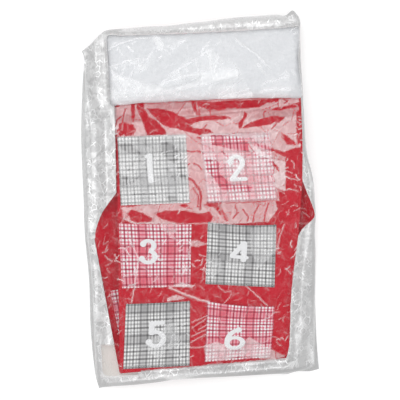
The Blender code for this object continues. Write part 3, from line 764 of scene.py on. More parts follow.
def bent_felt(name, bodies, middle, turn, side, half_width, axis_z, radii, pressed):
    """The felt that goes round a fold line, pressed flat: one half ring for each of the two sheets."""
    along = heading(math.radians(turn))
    outward = (-side * along[1], side * along[0])
    verts, faces = [], []
    steps, turns = max(6, round(half_width / 0.004)), 10
    for pair in radii:
        first = len(verts)
        for i in range(steps + 1):
            share = 2 * i / steps - 1
            for j in range(turns + 1):
                angle = math.pi * j / turns
                for radius in pair:
                    reach = -fold_overlap if j in (0, turns) else radius * math.sin(angle) * pressed
                    x, y = (m + a * half_width * share + o * reach for m, a, o in zip(middle, along, outward))
                    verts.append(at_height(axis_z + radius * math.cos(angle))(x, y))

        def corner(i, j, k):
            return first + 2 * (i * (turns + 1) + j) + k

        long_way, round_way, through = 2 * (turns + 1), 2, 1
        cells = [(i, j) for i in range(steps) for j in range(turns)]
        sides = [(corner(i, j, k), round_way, long_way) for i, j in cells for k in (0, 1)]
        sides += [(corner(i, j, 0), long_way, through) for i in range(steps) for j in (0, turns)]
        sides += [(corner(i, j, 0), through, round_way) for i in (0, steps) for j in range(turns)]
        faces += [(a, a + b, a + b + c, a + c) for a, b, c in sides]
    piece = new_piece(name, verts, faces, red_felt)
    with reshaped(piece) as mesh:
        bmesh.ops.recalc_face_normals(mesh, faces=mesh.faces)
    sharpen(piece)
    top = 0.92 * max(outer for _, outer in radii)
    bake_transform(piece, *bodies, start=(*middle, axis_z + top), end=(*middle, axis_z - top))


for name, sizes in felt_folds.items():
    bent_felt(name, *sizes)


# Pockets and their numbers


def pen_arc(x, y, across, up, start, end):
    count = max(3, round(12 * abs(end - start) / 180))
    turns = [math.radians(start + (end - start) * k / count) for k in range(count + 1)]
    return [(x + across * math.cos(turn), y + up * math.sin(turn)) for turn in turns]


def pen_band(points):
    """Outline of one stroke of a broad pen, thick where it goes up and thin across, anticlockwise."""
    left, right = [], []
    for i, point in enumerate(points):
        here = Vector(point)
        before = (here - Vector(points[i - 1])).normalized() if i else Vector((0, 0))
        after = (Vector(points[i + 1]) - here).normalized() if i + 1 < len(points) else Vector((0, 0))
        way = (before + after).normalized()
        side = Vector((-way.y * pen[0], way.x * pen[1])) / max(before.dot(way), after.dot(way))
        left.append(tuple(here + side))
        right.append(tuple(here - side))
    return [*right, *reversed(left)]


def number_areas(text, wide, tall):
    """Outlines of a number's pen strokes, in metres from its middle. The given size is the whole number's."""
    scale = (tall - 2 * pen[1]) / 0.78
    caps = {"o": pen, "b": (pen_ball, pen_ball)}
    drawn, start = [], 0.0
    for figure in text:
        strokes = [
            (pen_arc(*shares) if kind == "arc" else shares, ends) for kind, shares, ends in figures[figure]
        ]
        reach = [x for line, _ in strokes for x, _ in line]
        low, high = min(reach), max(reach)
        for line, ends in strokes:
            drawn.append(([(start + (x - low) * scale, (y - 0.5) * scale) for x, y in line], ends))
        start += (high - low) * scale + 2 * pen[0] + figure_gap
    span = start - 2 * pen[0] - figure_gap
    squeeze = (wide - 2 * pen[0]) / max(span, 0.001) if wide else 1.0
    areas = []
    for line, ends in drawn:
        stroke = [((x - span / 2) * squeeze, y) for x, y in line]
        areas.append(pen_band(stroke))
        for spot, end in zip((stroke[0], stroke[-1]), ends):
            if end in caps:
                areas.append(pen_arc(*spot, *caps[end], 0, 345))
    return areas


def pocket_corners(number, body):
    """Top left, top right, bottom left and bottom right as the pocket is seen from its front."""
    if number in top_pockets:
        return [Vector(corner) * mm for corner in top_pockets[number][0]], 1
    across, up, facing = pocket_turns["heel" if number >= first_heel_pocket else body]
    right, rise = (Vector(heading(math.radians(turn))) for turn in (across, up))
    mesh = merged(f"pocket_{number:02d}")
    spots = [vert.co.xy.copy() for vert in mesh.verts]
    mesh.free()
    signs = ((-1, 1), (1, 1), (-1, -1), (1, -1))
    return [max(spots, key=lambda spot: a * spot.dot(right) + b * spot.dot(rise)) for a, b in signs], facing


def pocket_surface(number, corners, facing, sag):
    """Gives the function from shares across and up, and a height over the felt, to a place."""
    lowest, highest = box_of(f"pocket_{number:02d}")
    base = lowest[2] if facing > 0 else highest[2]
    top_left, top_right, low_left, low_right = corners
    loose = 1.0 if number in top_pockets else 0.16

    def at(across, up, height):
        flat = low_left.lerp(low_right, across).lerp(top_left.lerp(top_right, across), up)
        bow = math.sin(math.pi * min(max(across, 0), 1))
        flat = flat - (top_left - low_left).normalized() * (sag * mm * bow * up ** 2)
        flat += (top_right - top_left).normalized() * (0.5 * mm * math.sin(7 * up + number) * bow)
        dent = noise.noise(Vector((flat.x * 38, flat.y * 34, number * 1.7)))
        puff = 0.0005 * bow * (0.25 + 0.75 * up) + 0.00035 * (dent + 0.4) * bow * min(1, 4 * up)
        gape = 0.0007 * bow * max(0, (up - 0.72) / 0.28) ** 2
        rise = height + loose * max(0, puff + gape)
        return flat.x, flat.y, settled(flat.x, flat.y, base) + facing * rise

    return at


def pocket_front(at):
    """The front of the cloth, a little thicker where it is turned in along the mouth."""
    def place(across, up):
        turned = min(1, max(0, (up - 0.925) / 0.012))
        edge = min(across, 1 - across, up * pocket_tall / pocket_wide) * pocket_wide
        rounded = 0.00025 * max(0, 1 - edge / 0.0012) ** 2
        return at(across, up, cloth + 0.00022 * turned - rounded)

    return place


def grid_faces(columns, rows):
    """The cells of a net whose points run along each row in turn."""
    starts = [j * (columns + 1) + i for j in range(rows) for i in range(columns)]
    return [(a, a + 1, a + columns + 2, a + columns + 1) for a in starts]


def make_number(number, corners, facing, at):
    """The flocked number, laid on the pocket's cloth."""
    if number in top_numerals:
        x, y, wide, tall = (value * mm for value in top_numerals[number])
    else:
        x, y, wide, tall = *((corners[0] + corners[3]) / 2), 0, hidden_number_tall
    right = (corners[1] - corners[0]).normalized()
    rise = Vector((-right.y, right.x)) * facing
    shift = Vector((x, y)) - (corners[0] + corners[1] + corners[2] + corners[3]) / 4

    def over(height):
        def place(px, py):
            spot = right * px + rise * py + shift
            across = 0.5 + spot.dot(right) / (corners[1] - corners[0]).length
            return at(across, 0.5 + spot.dot(rise) / pocket_tall, height)

        return place

    net = net_over(number_areas(str(number), wide, tall), 0.0016)
    sides = over(cloth + number_lift), over(cloth + flock + flock_stand)
    figure = new_piece(f"number_{number:02d}", *layered(*net, *sides), white_flock)
    sharpen(figure, 50)
    return figure


def make_pocket(number):
    name = f"pocket_{number:02d}"
    body = body_of(nodes[name])[0]
    corners, facing = pocket_corners(number, body)
    sag, start, columns, rows = 0.3, (11 + number * 7.3 % 23, 9 + number * 5.1 % 21), 34, 32
    if number in top_pockets:
        sag, start, columns, rows = *top_pockets[number][1:], 56, 54
    at = pocket_surface(number, corners, facing, sag)
    grid = [(i / columns, j / rows) for j in range(rows + 1) for i in range(columns + 1)]
    sides = (lambda across, up: at(across, up, pocket_lift)), pocket_front(at)
    finish = grey_check if number in grey_numbers else red_check
    piece = new_piece(name + "_cloth", *layered(grid, grid_faces(columns, rows), *sides), finish)
    left, down = (repeat * check_start - there * mm for repeat, there in zip(check_repeat, start))
    sheet_uv = piece.data.uv_layers.new(name="bolt")
    for loop in piece.data.loops:
        across, up = grid[loop.vertex_index % len(grid)]
        place = (across * pocket_wide + left, (1 - up) * pocket_tall + down)
        sheet_uv.data[loop.index].uv = (place[0] / bolt, place[1] / bolt)
    sharpen(piece, 50)
    stand_in(piece, body, name)
    figure = make_number(number, corners, facing, at)
    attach(figure, body)
    return body, at


pocket_places = [make_pocket(number) for number in range(1, pocket_count + 1)]


# Stitches


def stitch_tree(finish, sizes):
    """Geometry Nodes: short threads laid head to tail along the seam lines."""
    tree = bpy.data.node_groups.new("seam_stitches", "GeometryNodeTree")
    tree.interface.new_socket("Seams", in_out="INPUT", socket_type="NodeSocketGeometry")
    sockets = {}
    for label, value in sizes.items():
        socket = tree.interface.new_socket(label, in_out="INPUT", socket_type="NodeSocketFloat")
        socket.default_value = value
        sockets[label] = socket.identifier
    tree.interface.new_socket("Stitches", in_out="OUTPUT", socket_type="NodeSocketGeometry")
    given = add_node(tree, "NodeGroupInput").outputs
    thick = given["Thickness"]
    curve = add_node(tree, "GeometryNodeMeshToCurve", {"Mesh": given["Seams"]})
    seam = {"Curve": curve.outputs["Curve"], "Length": given["Pitch"]}
    spots = add_node(tree, "GeometryNodeCurveToPoints", seam, mode="LENGTH")
    ball = add_node(tree, "GeometryNodeMeshUVSphere", {"Segments": 6, "Rings": 4, "Radius": 0.5})
    size = add_node(tree, "ShaderNodeCombineXYZ", {"X": thick, "Y": thick, "Z": given["Length"]})
    laid = add_node(tree, "GeometryNodeInstanceOnPoints", {
        "Points": spots.outputs["Points"], "Rotation": spots.outputs["Rotation"],
        "Instance": ball.outputs["Mesh"], "Scale": size.outputs["Vector"],
    })
    real = add_node(tree, "GeometryNodeRealizeInstances", {"Geometry": laid.outputs["Instances"]})
    threads = {"Geometry": real.outputs["Geometry"], "Material": finish}
    coated = add_node(tree, "GeometryNodeSetMaterial", threads)
    add_node(tree, "NodeGroupOutput", {"Stitches": coated.outputs["Geometry"]})
    return tree, sockets


def sew(name, body, lines, finish, sizes):
    """Lays stitches along some lines and hands them over as one plain mesh."""
    verts, edges = [], []
    for line in lines:
        edges += [(len(verts) + i, len(verts) + i + 1) for i in range(len(line) - 1)]
        verts += line
    guide = placed(name + "_lines", mesh_of(name + "_lines", verts, edges, []))
    tree, sockets = stitch_tree(finish, sizes)
    making = guide.modifiers.new("stitches", "NODES")
    making.node_group = tree
    for label, value in sizes.items():
        making[sockets[label]] = value
    bpy.context.view_layer.update()
    plain = bpy.data.meshes.new_from_object(guide.evaluated_get(bpy.context.evaluated_depsgraph_get()))
    bpy.data.objects.remove(guide, do_unlink=True)
    plain.shade_smooth()
    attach(placed(name, plain), body)


pocket_seams = {}
inset_x, inset_y, seam_steps = 0.0021 / pocket_wide, 0.0021 / pocket_tall, 26
for body, at in pocket_places:
    shares = [k / seam_steps for k in range(seam_steps + 1)]
    path = [(inset_x, 1 - k * (1 - inset_y)) for k in shares]
    path += [(inset_x + k * (1 - 2 * inset_x), inset_y) for k in shares[1:]]
    path += [(1 - inset_x, inset_y + k * (1 - inset_y)) for k in shares[1:]]
    pocket_seams.setdefault(body, []).append([at(s, t, cloth + thread_lift) for s, t in path])
for body, lines in pocket_seams.items():
    sizes = {"Pitch": 0.0030, "Length": 0.0022, "Thickness": 0.00044}
    sew(f"{body}_pocket_stitches", body, lines, white_thread, sizes)


def seam_along(node, inset, facing, skip):
    """Places along a panel's cut edge, a little inside it, broken where the edge isn't sewn."""
    outline, low, high = felt_rims[node]
    rim = [Vector(point) for point in stepped(outline, 0.005, closed=True)]
    lay = at_height(high + thread_lift if facing > 0 else low - thread_lift)
    lines = [[]]
    for i, point in enumerate(rim):
        way = (rim[(i + 1) % len(rim)] - rim[i - 1]).normalized()
        spot = point + Vector((-way.y, way.x)) * inset
        if skip(spot.x, spot.y, way):
            lines.append([])
        else:
            lines[-1].append(lay(spot.x, spot.y))
    return [line for line in lines if len(line) > 2]


# Each body's sewn edge: its panel, the side it faces, and where it isn't sewn
edge_seams = {
    "upper": ("upper_leg_front", 1, lambda x, y, way: y > 0.1165 or abs(way.x) > 0.9),
    "lower": ("lower_leg_front", -1, lambda x, y, way: abs(way.x) > 0.9),
    "foot": ("foot_front", 1, lambda x, y, way: y > 0.190 or (x < -0.1 and abs(way.y) > 0.9 and way.y < 0)),
    "toe": ("toe_front", -1, lambda x, y, way: abs(way.y) > 0.97 and way.y > 0 and x < -0.09),
}
for body, (node, facing, skip) in edge_seams.items():
    sizes = {"Pitch": 0.0036, "Length": 0.0027, "Thickness": 0.0005}
    sew(f"{body}_edge_stitches", body, seam_along(node, 0.0042, facing, skip), red_thread, sizes)


# Cuff and hanging loop

cuff_seam_z = 0.0193
cuff_flat_z = 0.01345


def crown(share, power):
    """How full the pad is from its middle, 0, to its rim, 1: the higher the power, the flatter its top."""
    return (1 - abs(share) ** power) ** (1 / power)


def droop(x):
    """How far the cuff's lower edge hangs below a straight line, in mm."""
    return 0.5 + 2.1 * np.clip((x + 100) / 65, 0, 1)


def use(piece, kind, **settings):
    """Adds a modifier and applies it."""
    changer = piece.modifiers.new(kind.lower(), kind)
    for key, value in settings.items():
        setattr(changer, key, value)
    bpy.context.view_layer.update()
    evaluated = piece.evaluated_get(bpy.context.evaluated_depsgraph_get())
    data = bpy.data.meshes.new_from_object(evaluated)
    piece.modifiers.clear()
    piece.data = data


def blow_up(piece, pressure, most, frames=20):
    """Lets cloth under a little pressure take its own shape, no further than this from where it was."""
    scene = bpy.context.scene
    before = np.array([vert.co[:] for vert in piece.data.vertices])
    sim = piece.modifiers.new("cloth", "CLOTH")
    sim.settings.use_pressure = True
    sim.settings.uniform_pressure_force = pressure
    sim.settings.effector_weights.gravity = 0
    sim.settings.quality = 5
    sim.point_cache.frame_start = 1
    sim.point_cache.frame_end = frames
    for step in range(1, frames + 1):
        scene.frame_set(step)
    evaluated = piece.evaluated_get(bpy.context.evaluated_depsgraph_get())
    after = np.array([vert.co[:] for vert in evaluated.data.vertices])
    piece.modifiers.clear()
    scene.frame_set(1)
    moved = after - before
    moved -= moved.mean(axis=0)
    length = np.linalg.norm(moved, axis=1, keepdims=True)
    moved *= np.minimum(1, most / np.maximum(length, 1e-9))
    for vert, spot in zip(piece.data.vertices, before + moved):
        vert.co = spot


def pad(middle, reach, rise, low_z, high_z):
    """A closed pad whose upper and lower nets share their rim at the seam."""
    columns, rows = 60, 26
    verts, faces, over, under = [], [], {}, {}
    for i in range(columns + 1):
        for j in range(rows + 1):
            u, v = math.sin((i / columns - 0.5) * math.pi), math.sin((j / rows - 0.5) * math.pi)
            x = middle[0] + u * (reach - 0.0022 * (1 - v * v))
            y = middle[1] + v * (rise - 0.0016 * (1 - u * u))
            over[i, j] = under[i, j] = len(verts)
            verts.append((x, y, cuff_seam_z + (high_z - cuff_seam_z) * crown(u, 4) * crown(v, 3)))
            if 0 < i < columns and 0 < j < rows:
                under[i, j] = len(verts)
                verts.append((x, y, cuff_seam_z + (low_z - cuff_seam_z) * crown(u, 6) * crown(v, 5)))
    for i in range(columns):
        for j in range(rows):
            cell = ((i, j), (i + 1, j), (i + 1, j + 1), (i, j + 1))
            faces.append([over[place] for place in cell])
            faces.append([under[place] for place in reversed(cell)])
    return verts, faces


def brushed(mesh, middle, reach, rise):
    """Brings the pad to its size, lets its lower edge droop, and gives it tufts and a flat underside."""
    for axis, half in ((0, reach), (1, rise)):
        grown = half / max(abs(vert.co[axis] - middle[axis]) for vert in mesh.verts)
        for vert in mesh.verts:
            vert.co[axis] = middle[axis] + (vert.co[axis] - middle[axis]) * grown
    for vert in mesh.verts:
        vert.co.y -= droop(vert.co.x / mm) * mm * max(0, (middle[1] - vert.co.y) / rise) ** 2
    mesh.normal_update()
    for vert in mesh.verts:
        tuft = noise.noise(vert.co * 300) + 0.6 * noise.noise(vert.co * 620 + Vector((4, 1, 9)))
        vert.co += vert.normal * (0.00028 * tuft + 0.0005 * noise.noise(vert.co * 60))
        vert.co.z = max(vert.co.z, settled(vert.co.x, vert.co.y, cuff_flat_z))


def leg_slot():
    """The block that takes the leg's tab out of the cuff."""
    outline, low, _ = felt_rims["upper_leg_back"]
    top = felt_rims["upper_leg_front"][2]
    tab = [x for x, y in outline if y > 0.119]
    left, right = min(tab) - 0.0006, max(tab) + 0.0006
    cut = bmesh.new()
    bmesh.ops.create_cube(cut, size=1)
    bmesh.ops.scale(cut, vec=(right - left, 0.0800, top - low + 0.0026), verts=cut.verts)
    bmesh.ops.translate(cut, vec=((left + right) / 2, 0.1495, (low + top) / 2), verts=cut.verts)
    data = bpy.data.meshes.new("cuff_slot")
    cut.to_mesh(data)
    cut.free()
    return placed("cuff_slot", data)


def plush_cuff():
    """The stuffed-looking plush cuff: a pad blown up a little by a cloth simulation, then its slot cut."""
    lowest, highest = box_of("cuff")
    middle = (lowest + highest) / 2
    reach, rise = (highest - lowest)[:2] / 2 + (0.0004, 0.0006)
    net = pad(middle, reach, rise, lowest[2] + 0.0004, highest[2] - 0.0010)
    piece = new_piece("plush_cuff", *net, white_plush)
    use(piece, "REMESH", mode="VOXEL", voxel_size=0.0045)
    blow_up(piece, pressure=4.0, most=0.0022)
    for _ in range(2):
        use(piece, "SUBSURF", levels=1, render_levels=1)
    with reshaped(piece) as mesh:
        brushed(mesh, middle, reach, rise)
    cutter = leg_slot()
    use(piece, "BOOLEAN", operation="DIFFERENCE", object=cutter, solver="EXACT")
    bpy.data.objects.remove(cutter, do_unlink=True)
    piece.data.materials.clear()
    piece.data.materials.append(white_plush)
    for polygon in piece.data.polygons:
        polygon.material_index = 0
    piece.data.shade_smooth()
    sharpen(piece, 60)
    stand_in(piece, "upper", "cuff")


def ribbon_loop():
    """The doubled ribbon: two layers a hair apart."""
    outline, low, high = cad_outline("hanging_loop")
    net = net_over([outline], 0.002)
    middle = (low + high) / 2
    verts, faces = [], []
    for bottom, top in ((low, middle - ribbon_gap), (middle + ribbon_gap, high)):
        more, again = layered(*net, at_height(bottom), at_height(top))
        faces += [tuple(i + len(verts) for i in face) for face in again]
        verts += more
    piece = new_piece("ribbon_loop", verts, faces, red_ribbon)
    sharpen(piece)
    stand_in(piece, "loop", "hanging_loop")


plush_cuff()
ribbon_loop()


# Film bag

# Sheet sizes, the net over the front film, its height over what it covers and touches, and the CAD film's
# height over the pile
film_columns, film_rows = 244, 380
film_step = 0.00115
film_air = 0.0005
film_touch = 0.0003
film_loft = 0.0225
# The crumple: spacing, height, seed, stretch and turn of its facets, in three sizes on the front film
front_crumple = (
    (0.0125, 0.0024, 5, 1.5, 0.5),
    (0.0080, 0.0014, 21, 1.7, 0.9),
    (0.0050, 0.0008, 9, 1.4, -0.4),
)
back_crumple = (0.0090, 0.0016, 31, 1.4, 0.3)
back_film_z = 0.00012
glint_line_count, glint_line_seed = 900, 17
# The bag's left ear, in mm
left_ear = (-128, 176, -116, 196)
Facets = namedtuple("Facets", "height right up")


def smooth_line(points, count):
    """Points at even steps along a smooth curve through the given ones."""
    rows = np.reshape(points, (-1, 2)).astype(float)
    ends = np.vstack([2 * rows[0] - rows[1], rows, 2 * rows[-1] - rows[-2]])
    fine = []
    for i in range(1, len(ends) - 2):
        p, q, r, s = ends[i - 1:i + 3]
        for t in (k / 12 for k in range(12)):
            square, cube = 2 * p - 5 * q + 4 * r - s, 3 * q - p - 3 * r + s
            fine.append(((2 * q) + (r - p) * t + square * t * t + cube * t ** 3) / 2)
    fine = np.array([*fine, ends[-2]])
    run = np.concatenate([[0], np.cumsum(np.linalg.norm(np.diff(fine, axis=0), axis=1))])
    where = np.linspace(0, run[-1], count)
    return np.stack([np.interp(where, run, fine[:, k]) for k in range(2)], axis=1)


def bag_grid(columns, rows):
    """The bag's flat outline filled with a net that follows its four edges, in metres."""
    left, right = smooth_line(bag_left, rows + 1), smooth_line(bag_right, rows + 1)
    low, high = smooth_line(bag_bottom, columns + 1), smooth_line(bag_top, columns + 1)
    u = np.linspace(0, 1, columns + 1)[None, :, None]
    v = np.linspace(0, 1, rows + 1)[:, None, None]
    net = (1 - u) * left[:, None] + u * right[:, None] + (1 - v) * low[None] + v * high[None]
    net -= (1 - u) * (1 - v) * low[0] + u * (1 - v) * low[-1] + (1 - u) * v * high[0] + u * v * high[-1]
    return net * mm


def from_stretch(x, y, x1, y1, x2, y2):
    """Distance of each place to a straight line between two points."""
    square = max((x2 - x1) ** 2 + (y2 - y1) ** 2, 1e-12)
    share = np.clip(((x - x1) * (x2 - x1) + (y - y1) * (y2 - y1)) / square, 0, 1)
    return np.hypot(x - x1 - share * (x2 - x1), y - y1 - share * (y2 - y1))


def from_line(points, line):
    """Distance of each point to a line, in the same unit."""
    rows = np.reshape(line, (-1, 2)).astype(float)
    x, y = points[..., 0], points[..., 1]
    nearest = np.full(x.shape, 1e9)
    for start, end in zip(rows, rows[1:]):
        nearest = np.minimum(nearest, from_stretch(x, y, *start, *end))
    return nearest


def far_from(points, outline):
    """Distance of each point to an outline in the same unit, negative inside it."""
    rows = np.reshape(outline, (-1, 2)).astype(float)
    rows = np.vstack([rows, rows[:1]])
    x, y = points[..., 0], points[..., 1]
    inside = np.zeros(x.shape, bool)
    for (x1, y1), (x2, y2) in zip(rows, rows[1:]):
        slope = (x2 - x1) / (y2 - y1) if y2 != y1 else 0
        inside ^= ((y1 > y) != (y2 > y)) & (x < x1 + (y - y1) * slope)
    nearest = from_line(points, rows)
    return np.where(inside, -nearest, nearest)


def eased(value, low, high):
    """From 0 at the low value to 1 at the high one, without a kink."""
    share = np.clip((value - low) / (high - low), 0, 1)
    return share * share * (3 - 2 * share)


def speckled(points, scale, seed):
    """Smooth noise from -1 to 1 over points in mm."""
    values = [noise.noise(Vector((x * scale, y * scale, seed))) for x, y in points.reshape(-1, 2)]
    return np.reshape(values, points.shape[:-1])


def beside(values):
    """The sum of each point's four neighbours in a net."""
    padded = np.pad(values, 1, mode="edge")
    return padded[:-2, 1:-1] + padded[2:, 1:-1] + padded[1:-1, :-2] + padded[1:-1, 2:]


def blurred(values, times):
    """A net's values, each drawn towards its neighbours a few times over."""
    for _ in range(times):
        values = (beside(values) + 2 * values) / 6
    return values


def facets(net, spacing, tall, seed, stretch, turn):
    """A crumpled sheet of flat facets between random points: its height and its two slopes over a net."""
    chance = np.random.default_rng(seed)
    steps = np.arange(-0.32, 0.32, spacing)
    spots = np.stack(np.meshgrid(steps, steps), axis=-1).reshape(-1, 2)
    spots += chance.uniform(-0.46, 0.46, spots.shape) * spacing
    cos, sin = heading(turn)
    spots = (spots * (1, stretch)) @ np.array([[cos, sin], [-sin, cos]])
    spots = spots[(abs(spots[:, 0]) < 0.155) & (abs(spots[:, 1]) < 0.24)]
    peaks = chance.uniform(0, tall, len(spots)).tolist()
    verts, _, faces, sources, _, _ = delaunay_2d_cdt([Vector(spot) for spot in spots], [], [], 0, 1e-7)
    sheet = BVHTree.FromPolygons([(*vert, peaks[source[0]]) for vert, source in zip(verts, sources)], faces)
    found = []
    for x, y in net.reshape(-1, 2):
        spot, normal = sheet.ray_cast(Vector((x, y, 1)), Vector((0, 0, -1)))[:2]
        found.append((spot.z, -normal.x / normal.z, -normal.y / normal.z))
    return Facets(*(np.reshape(row, net.shape[:2]) for row in zip(*found)))


def folds(height, net):
    """How sharply a net's height turns down on both sides, in metres per metre."""
    step = abs(net[0, 1, 0] - net[0, 0, 0])
    return (2 * height - beside(height) / 2) / step


def fan(points, middle, count, seed):
    """Painted highlights along fine creases that spread out from one place, from 0 to 1."""
    x, y = points[..., 0] - middle[0], points[..., 1] - middle[1]
    turn, away = np.arctan2(y, x), np.hypot(x, y)
    values = [
        noise.noise(Vector((a * count + 0.02 * math.sin(r * 0.11 + seed), r * 0.005, seed)))
        for a, r in zip(turn.reshape(-1), away.reshape(-1))
    ]
    ridge_highlight = 1 - np.abs(np.reshape(values, turn.shape)) * 7
    return np.clip(ridge_highlight, 0, 1) * eased(away, 4, 16)


def scratches(points, count, seed):
    """Painted glints: short bright lines laid at random, each a little bent, from 0 to 1."""
    chance = np.random.default_rng(seed)
    made = np.zeros(points.shape[:-1])
    for _ in range(count):
        middle = chance.uniform((-138, -216), (134, 212))
        turn, bend = chance.choice((0.9, 2.3, 0.3)) + chance.normal(0, 0.35), chance.normal(0, 0.5)
        length, strength = chance.uniform(3, 11), chance.uniform(0.4, 1.0)
        way, after = (np.array(heading(angle)) for angle in (turn, turn + bend))
        line = (middle - way * length / 2, middle, middle + after * length / 2)
        close = np.abs(points - middle).max(axis=-1) < length
        if close.any():
            near = np.clip(1.25 - from_line(points[close], line) / 0.75, 0, 1)
            made[close] = np.maximum(made[close], strength * near)
    return made


def felt_height(pieces, net, floor):
    """The height of the highest surface below each point of a net, or the floor where there is none."""
    verts, faces = [], []
    for piece in pieces:
        first = len(verts)
        verts += [vert.co.copy() for vert in piece.data.vertices]
        faces += [tuple(first + i for i in polygon.vertices) for polygon in piece.data.polygons]
    tree = BVHTree.FromPolygons(verts, faces)
    hits = (tree.ray_cast(Vector((x, y, 0.2)), Vector((0, 0, -1)))[0] for x, y in net.reshape(-1, 2))
    return np.reshape([hit.z if hit else floor for hit in hits], net.shape[:2])


def film_rest(net):
    """The film's height before it is crumpled, and where it lies out beside the felt, from 0 to 1."""
    ends, starts = ("_felt", "_cloth", "_stitches"), ("number", "plush")
    covered = [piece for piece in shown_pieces() if piece.name.endswith(ends) or piece.name.startswith(starts)]
    draped, under = felt_height([nodes["bag_front_film"]], net, 0.0006), felt_height(covered, net, 0.0)
    margin = blurred((under == 0).astype(float), 4)
    held = under + film_touch
    height = np.maximum(draped, under + film_air)
    slumped = film_loft * np.clip(height / film_loft, 0, 1) ** 1.5
    height = np.maximum(held, height + eased(margin, 0.45, 0.95) * (slumped - height))
    for _ in range(8):
        height = np.maximum(blurred(height, 1), held)
    return height, margin


def film_piece(name, net, height, finish, milk, tone, wrinkle, upwards=True):
    """One film of the bag as a piece that carries its own looks at each point."""
    rows, columns = (count - 1 for count in height.shape)
    verts = np.concatenate([net, height[..., None]], axis=2).reshape(-1, 3)
    faces = grid_faces(columns, rows)
    if not upwards:
        faces = [face[::-1] for face in faces]
    piece = new_piece(name, [tuple(vert) for vert in verts], faces, finish)
    for label, values in (("milk", milk), ("tone", tone), ("wrinkle", wrinkle)):
        layer = piece.data.attributes.new(label, "FLOAT", "POINT")
        layer.data.foreach_set("value", np.clip(values, 0, 1).reshape(-1).astype(np.float32))
    stand_in(piece, "bag", f"bag_{name}")
    return piece


def from_edges():
    """How far each point of the front film is from the film's edges, in steps of its net and in mm."""
    across, along = (
        np.minimum(np.arange(count + 1), count - np.arange(count + 1)) for count in (film_columns, film_rows)
    )
    across, along = across[None, :], along[:, None]
    return np.minimum(across, along), np.minimum(across * 0.0011, along * 0.00113) / mm


def lively_parts(points, edge):
    """Where the crumple is lively: away from the pressed strip along the bag's edges, and at its left ear."""
    lively = eased(edge, 3.5, 7.5) * (0.6 + 0.4 * eased(speckled(points, 0.03, 2.2), -0.3, 0.2))
    lively *= 1 - 0.35 * eased(points[..., 0], 100, 110)
    return np.maximum(lively, eased(-from_line(points, left_ear), -18, -8))


def facet_light(net, wide, mid, fine):
    """Painted light and shade from how the crumple's facets tilt and its folds turn: bright facets, large lit
    facets, ridge highlights, and all of it together.
    """
    lit_patch = eased(0.7 * mid.up - 0.5 * mid.right, -0.02, 0.03)
    lit_small = eased(0.6 * fine.up + 0.6 * fine.right, 0.0, 0.04)
    lit_large = eased(0.2 * wide.up - 0.8 * wide.right, 0.0, 0.03)
    shaded_fine = eased(0.5 * fine.right - 0.7 * fine.up, 0.03, 0.06)
    fine_fold, mid_fold = folds(fine.height, net), folds(mid.height, net)
    ridge_highlight = np.maximum(eased(fine_fold, 0.03, 0.09), 0.9 * eased(mid_fold, 0.03, 0.09))
    valley_shade = np.maximum(eased(-fine_fold, 0.03, 0.09), eased(-mid_fold, 0.03, 0.09))
    painted_shine = 0.26 * lit_patch * lit_small + 0.13 * lit_patch + 0.12 * lit_small * (1 - lit_patch) + 0.16 * lit_small * lit_large
    return lit_patch * lit_small, lit_large, ridge_highlight, painted_shine + (0.34 * ridge_highlight - 0.24 * valley_shade - 0.12 * shaded_fine)


def pressed_zones(points, ragged, feather):
    """How much painted glare and milky haze the film has where it lies pressed, with its clear windows and the
    lines where it breaks off.
    """
    glare_zone = np.zeros(points.shape[:-1])
    for strength, outline in glare_and_haze_zones:
        glare_zone = np.maximum(glare_zone, strength * np.clip(0.5 - far_from(ragged, outline) / feather, 0, 1))
    for outline in clear_windows:
        glare_zone *= np.clip(0.5 + far_from(ragged, outline) / feather, 0, 1)
    for broad, line in glare_gaps:
        glare_zone *= np.clip(from_line(points, line) / (broad * 0.6) - 0.3, 0, 1)
    return glare_zone


